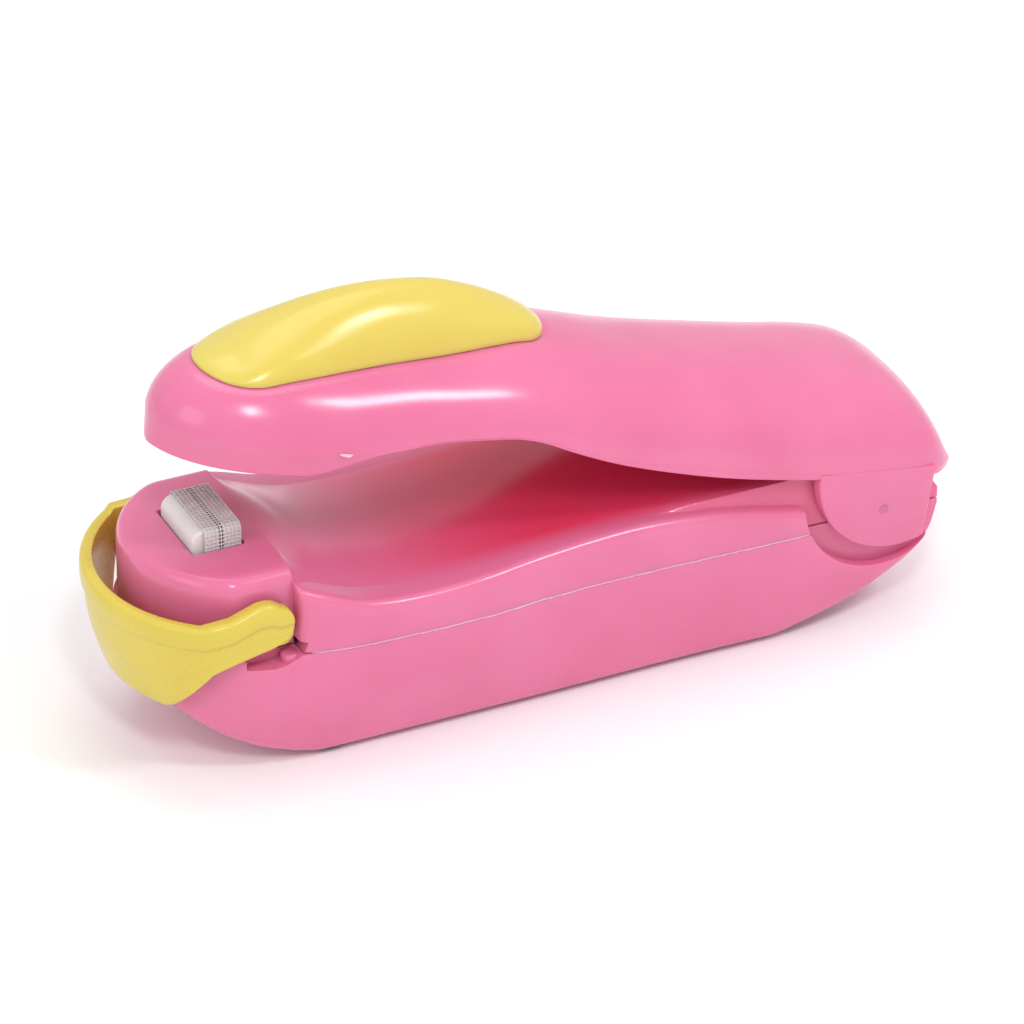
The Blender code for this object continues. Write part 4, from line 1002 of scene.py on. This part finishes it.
def ring_profile(thick, top, bottom, tuck):
    """The ring's section as (out, z): flat rim, bead, groove, skirt with a low step, round toe."""
    bead = min(3.4, (top - bottom) * 0.5)
    neck = top - bead
    low_step = neck + (bottom - neck) * 0.55
    recess = 0.45
    profile = [(0.35, top), (thick - 0.9, top)]
    profile += [(thick - 0.9 + 0.9 * math.sin(a), top - 0.9 + 0.9 * math.cos(a))
                for a in np.linspace(0.25, math.pi / 2, 6)]
    profile += [(thick + 0.06, top - bead * 0.5), (thick, neck + 0.5), (thick - 0.12, neck + 0.18),
                (thick - 0.35, neck + 0.02), (thick - recess, neck - 0.2)]

    def skirt(z):
        share = min(max((neck - z) / (neck - bottom), 0.0), 1.0)
        return tuck * (0.15 * share + 0.85 * share**2.2)
    profile += [(thick - recess - skirt(z), z) for z in np.linspace(neck - 0.8, low_step + 0.25, 6)]
    profile += [(thick - recess - 0.1 - skirt(z), z) for z in np.linspace(low_step, bottom + 0.6, 8)]
    foot = thick - recess - 0.1 - skirt(bottom)
    profile += [(foot - 0.12, bottom + 0.25), (foot - 0.45, bottom), (foot - 0.8, bottom + 0.05)]
    profile += [(-skirt(z), z) for z in np.linspace(bottom + 0.4, neck, 9)]
    profile += [(0.0, top - bead * 0.5), (0.0, top - 0.4), (0.1, top - 0.12)]
    return profile


def ring_section(inner, outer, top, bottom, tuck, pinch=1.0):
    """One section of the ring. A pinch under 1 draws it in towards its middle."""
    inner, outer = np.array(inner, float), np.array(outer, float)
    thick = float(np.linalg.norm(outer - inner))
    out = (outer - inner) / thick
    middle_r, middle_z = thick / 2, (top + bottom) / 2
    return [(*(inner + out * (middle_r + (r - middle_r) * pinch**0.5)), middle_z + (z - middle_z) * pinch)
            for r, z in ring_profile(thick, top, bottom, tuck)]


def make_guard_ring():
    arm_table = [(-51.5, 26.95, 19.6), (-49, 27.8, 20.1), (-46.6, 28.5, 20.6), (-45, 28.35, 20.9),
                 (-43.6, 27.5, 21.4)]
    arm_top = smooth_curve([(x, top) for x, top, _ in arm_table], 1.0)
    arm_low = smooth_curve([(x, low) for x, _, low in arm_table], 1.0)
    arm = []
    end_round = 2.3
    for angle in np.linspace(86, 4, 12):
        x = RING_ARM_END_X - end_round + end_round * math.sin(math.radians(angle))
        arm.append((x, arm_top(x), arm_low(x), math.cos(math.radians(angle))**0.9))
    arm += [(x, arm_top(x), arm_low(x), 1.0)
            for x in np.arange(RING_ARM_END_X - end_round - 0.3, -51.3, -0.45)]
    half = [ring_section((x, RING_ARM_INNER_Y), (x, RING_ARM_OUTER_Y), top, bottom, 0.04, pinch)
            for x, top, bottom, pinch in arm]
    inner_deg = math.degrees(math.asin(RING_ARM_INNER_Y / RING_INNER_RADIUS))
    outer_deg = math.degrees(math.asin(RING_ARM_OUTER_Y / RING_OUTER_RADIUS))
    for share in np.linspace(1.0, 0.0, 60):
        turn_in, turn_out = math.radians(inner_deg * share), math.radians(outer_deg * share)
        bottom = RING_TONGUE_Z + 7.8 * max(0.0, (share - 0.62) / 0.38)**1.8
        tuck = max(2.4 * min(1.0, (18.9 - bottom) / 7.8), 0.04)
        lift = 0.45 * smooth_step(share, 0.94, 1.0)
        half.append(ring_section(
            (NOSE_CENTRE_X - RING_INNER_RADIUS * math.cos(turn_in), RING_INNER_RADIUS * math.sin(turn_in)),
            (NOSE_CENTRE_X - RING_OUTER_RADIUS * math.cos(turn_out), RING_OUTER_RADIUS * math.sin(turn_out)),
            RING_TOP_Z + lift, bottom, tuck))
    other = [[(x, -y, z) for x, y, z in section] for section in reversed(half[:-1])]
    ring = loft("guard_ring_casting", half + other)
    return join(ring, *ring_stems("peg", 14.6, 17.6, RING_PEG_RADIUS))


finish_piece(make_guard_ring(), "guard_ring", RING_YELLOW, "ring_plastic", "guard_ring", sharp_deg=40)


# ---- heater -------------------------------------------------------------
TAPE_LOW_X, TAPE_HIGH_X = HEATER_LOW.x - SHIFT, HEATER_HIGH.x - SHIFT
TAPE_HALF_Y = HEATER_HIGH.y
TAPE_LOW_Z = HEATER_LOW.z
TAPE_INSET = 0.17             # from the CAD tape's outer faces in to the path its layers follow
TAPE_TURN = 1.0
WEAVE_PITCH = 0.58


def make_heater_block():
    """A white bar whose long outer edge is rounded like a roll, on a flange."""
    high, low = HEATER_TOP_Z - 0.45, 28.4
    front, rear = HEATER_X - HEATER_HALF_X, HEATER_X + HEATER_HALF_X
    roll, half_y, edge = 1.9, 5.75, 0.5
    outline = [(front, low)] + [(front + roll - roll * math.cos(a), high - roll + roll * math.sin(a))
                                for a in np.linspace(0, math.pi / 2, 14)]
    outline += [(rear - edge + edge * math.sin(a), high - edge + edge * math.cos(a))
                for a in np.linspace(0, math.pi / 2, 6)]
    outline.append((rear, low))
    sections = []
    centre = np.array([HEATER_X, (high + low) / 2])
    ends = [(half_y - edge * (1 - math.cos(a)), edge * (1 - math.sin(a)))
            for a in np.linspace(0.15, math.pi / 2, 6)]
    for y, inset in [(-y, inset) for y, inset in ends] + ends[::-1]:
        ring = []
        for x, z in outline:
            offset = np.array([x, z]) - centre
            shrunk = centre + offset * (1 - inset / np.linalg.norm(offset))
            ring.append((shrunk[0], y, shrunk[1] if z > low else low))
        sections.append(ring)
    block = loft("heater_bar", sections)
    flange = rounded_block("flange", (HEATER_X - 4.6, -8.0, 27.4), (HEATER_X + 4.6, 8.0, 28.9), 0.2)
    return join(block, flange)


DRAPE_LENGTH = (2 * (HEATER_TOP_Z - TAPE_INSET - TAPE_LOW_Z - TAPE_TURN) + math.pi * TAPE_TURN
                + 2 * (TAPE_HALF_Y - TAPE_INSET - TAPE_TURN))


def drape(position, lift):
    """A point of the tape's path over the bar: up one end, along the top, down the other."""
    top, half = HEATER_TOP_Z - TAPE_INSET, TAPE_HALF_Y - TAPE_INSET
    flat, arc = half - TAPE_TURN, math.pi / 2 * TAPE_TURN
    side = math.copysign(1, position - DRAPE_LENGTH / 2)
    distance = abs(position - DRAPE_LENGTH / 2)
    if distance < flat:
        return side * distance, top + lift
    if distance < flat + arc:
        a = (distance - flat) / TAPE_TURN
        reach = TAPE_TURN + lift
        return side * (flat + reach * math.sin(a)), top - TAPE_TURN + reach * math.cos(a)
    return side * (half + lift), top - TAPE_TURN - (distance - flat - arc)


def draped_strip(name, low_x, high_x, margin, count, low_lift, high_lift):
    """A thin flat strip that follows the tape's path, up to a margin from its ends."""
    sections = []
    for position in np.linspace(margin, DRAPE_LENGTH - margin, count):
        inner, outer = drape(position, low_lift), drape(position, high_lift)
        sections.append([(low_x, *inner), (high_x, *inner), (high_x, *outer), (low_x, *outer)])
    return loft(name, sections)


def make_weave():
    """Glass threads woven over and under each other, as one mesh of thin tubes."""
    threads = []
    first_x, first_position = TAPE_LOW_X + 0.25, 0.2
    radius, wave, middle = 0.085, 0.05, 0.02
    for number, x in enumerate(np.arange(first_x, TAPE_HIGH_X - 0.1, WEAVE_PITCH)):
        points = []
        for position in np.arange(0.05, DRAPE_LENGTH, WEAVE_PITCH / 4):
            lift = wave * math.cos(math.pi * ((position - first_position) / WEAVE_PITCH + number))
            points.append((x, *drape(position, middle + lift)))
        threads.append(tube("thread", points, radius, 6))
    for number, position in enumerate(np.arange(first_position, DRAPE_LENGTH, WEAVE_PITCH)):
        points = []
        for x in np.arange(TAPE_LOW_X + 0.05, TAPE_HIGH_X - 0.02, WEAVE_PITCH / 4):
            lift = -wave * math.cos(math.pi * ((x - first_x) / WEAVE_PITCH + number))
            points.append((x, *drape(position, middle + lift)))
        threads.append(tube("thread", points, radius, 6))
    return merged("tape_weave", threads)


def merged(name, objects):
    """Several meshes as one object, kept as separate bodies."""
    bm = bmesh.new()
    for obj in objects:
        bm.from_mesh(obj.data)
        bpy.data.objects.remove(obj, do_unlink=True)
    mesh = bpy.data.meshes.new(name)
    bm.to_mesh(mesh)
    bm.free()
    result = bpy.data.objects.new(name, mesh)
    pieces.objects.link(result)
    return result


RIBBON_X = HEATER_X + 0.6     # the flat heating ribbon shows dark through the weave
RIBBON_HALF_WIDTH = 0.28

finish_piece(make_heater_block(), "heater", WHITE, "white_plastic", "heater_block")
finish_piece(draped_strip("tape_backing", TAPE_LOW_X + 0.1, TAPE_HIGH_X - 0.1, 0, 120, -0.16, -0.04),
             "heater", FOIL, "glass_fibre_tape", "heater_tape")
finish_piece(make_weave(), "heater", THREAD, "glass_fibre_tape", sharp_deg=60)
finish_piece(draped_strip("heating_ribbon", RIBBON_X - RIBBON_HALF_WIDTH, RIBBON_X + RIBBON_HALF_WIDTH,
                          0.6, 100, -0.03, 0.015),
             "heater", NICHROME, "nichrome", "heating_wire")


# ---- battery door -------------------------------------------------------
def make_battery_door():
    """A flat panel with a tongue along each side and a row of finger grooves."""
    front, rear, top = DOOR_LOW.x - SHIFT, DOOR_HIGH.x - SHIFT, DOOR_HIGH.z
    half = (DOOR_HIGH.y - DOOR_LOW.y) / 2 - DOOR_TONGUE
    door = rounded_block("door_panel", (front, -half, 0.0), (rear, half, top), 0.25)
    door = join(door, rounded_block("tongues", (front + 1, -half - DOOR_TONGUE, top - 0.45),
                                    (rear - 1, half + DOOR_TONGUE, top - 0.02), 0.1))
    grooves = [tube("finger_groove", [(x, -6.5 + 0.5 * i, 0.15) for i in range(27)], 0.6, 16)
               for x in (21.0, 23.2, 25.4, 27.6, 29.8)]
    return cut(door, *grooves)


finish_piece(make_battery_door(), "battery_door", PINK, "pink_plastic", "battery_door")


# ---- floor, lights and camera -------------------------------------------
def make_floor():
    material, shader, place = start_material("pale_floor")
    tone = add_mix(material, add_noise(material, place, 6.0), (0.93, 0.93, 0.93), (0.91, 0.91, 0.92))
    fill(material, shader, {"Base Color": tone, "Roughness": 0.8, "Specular IOR Level": 0.1})
    mesh = bpy.data.meshes.new("floor")
    reach = 6.0
    corners = [(-reach, -reach, 0), (reach, -reach, 0), (reach, reach, 0), (-reach, reach, 0)]
    mesh.from_pydata(corners, [], [(0, 1, 2, 3)])
    floor = bpy.data.objects.new("floor", mesh)
    floor.location.z = -0.0002
    mesh.materials.append(material)
    pieces.objects.link(floor)


LOOK_AT = Vector((0.0007, 0.0, 0.0216))
CAMERA_DISTANCE = 0.9
CAMERA_AZIMUTH, CAMERA_ELEVATION = math.radians(-25.23), math.radians(30.96)
CAMERA_LENS = 221.5


def aim(name, data, toward, distance):
    """Places a light or the camera out along a direction, looking back at LOOK_AT."""
    obj = bpy.data.objects.new(name, data)
    obj.location = LOOK_AT + toward * distance
    obj.rotation_euler = toward.to_track_quat("Z", "Y").to_euler()
    bpy.context.scene.collection.objects.link(obj)
    return obj


def add_softbox(name, direction, distance, width, height, power):
    """A rectangular area light."""
    light = bpy.data.lights.new(name, "AREA")
    light.shape = "RECTANGLE"
    light.size, light.size_y = width, height
    light.energy = power
    aim(name, light, Vector(direction).normalized(), distance)


def make_camera():
    camera = bpy.data.cameras.new("camera")
    camera.lens = CAMERA_LENS
    camera.sensor_width = 36.0
    camera.clip_start, camera.clip_end = 0.01, 20.0
    toward = Vector((math.sin(CAMERA_AZIMUTH) * math.cos(CAMERA_ELEVATION),
                     -math.cos(CAMERA_AZIMUTH) * math.cos(CAMERA_ELEVATION), math.sin(CAMERA_ELEVATION)))
    bpy.context.scene.camera = aim("camera", camera, toward, CAMERA_DISTANCE)


make_floor()
make_camera()
add_softbox("softbox_front", (-0.22, -0.62, 0.77), 0.7, 0.08, 0.13, 1.0)
add_softbox("softbox_right", (0.40, -0.47, 0.76), 0.7, 0.08, 0.13, 1.0)
add_softbox("softbox_left", (-0.85, -0.25, 0.46), 0.9, 0.4, 0.4, 0.9)
add_softbox("softbox_top", (0.1, 0.3, 1.0), 0.9, 0.6, 0.6, 2.0)

world = bpy.data.worlds.new("studio")
world.use_nodes = True
world.node_tree.nodes["Background"].inputs["Color"].default_value = (1.0, 1.0, 1.0, 1.0)
world.node_tree.nodes["Background"].inputs["Strength"].default_value = 0.75
bpy.context.scene.world = world
bpy.context.scene.view_settings.view_transform = "Standard"
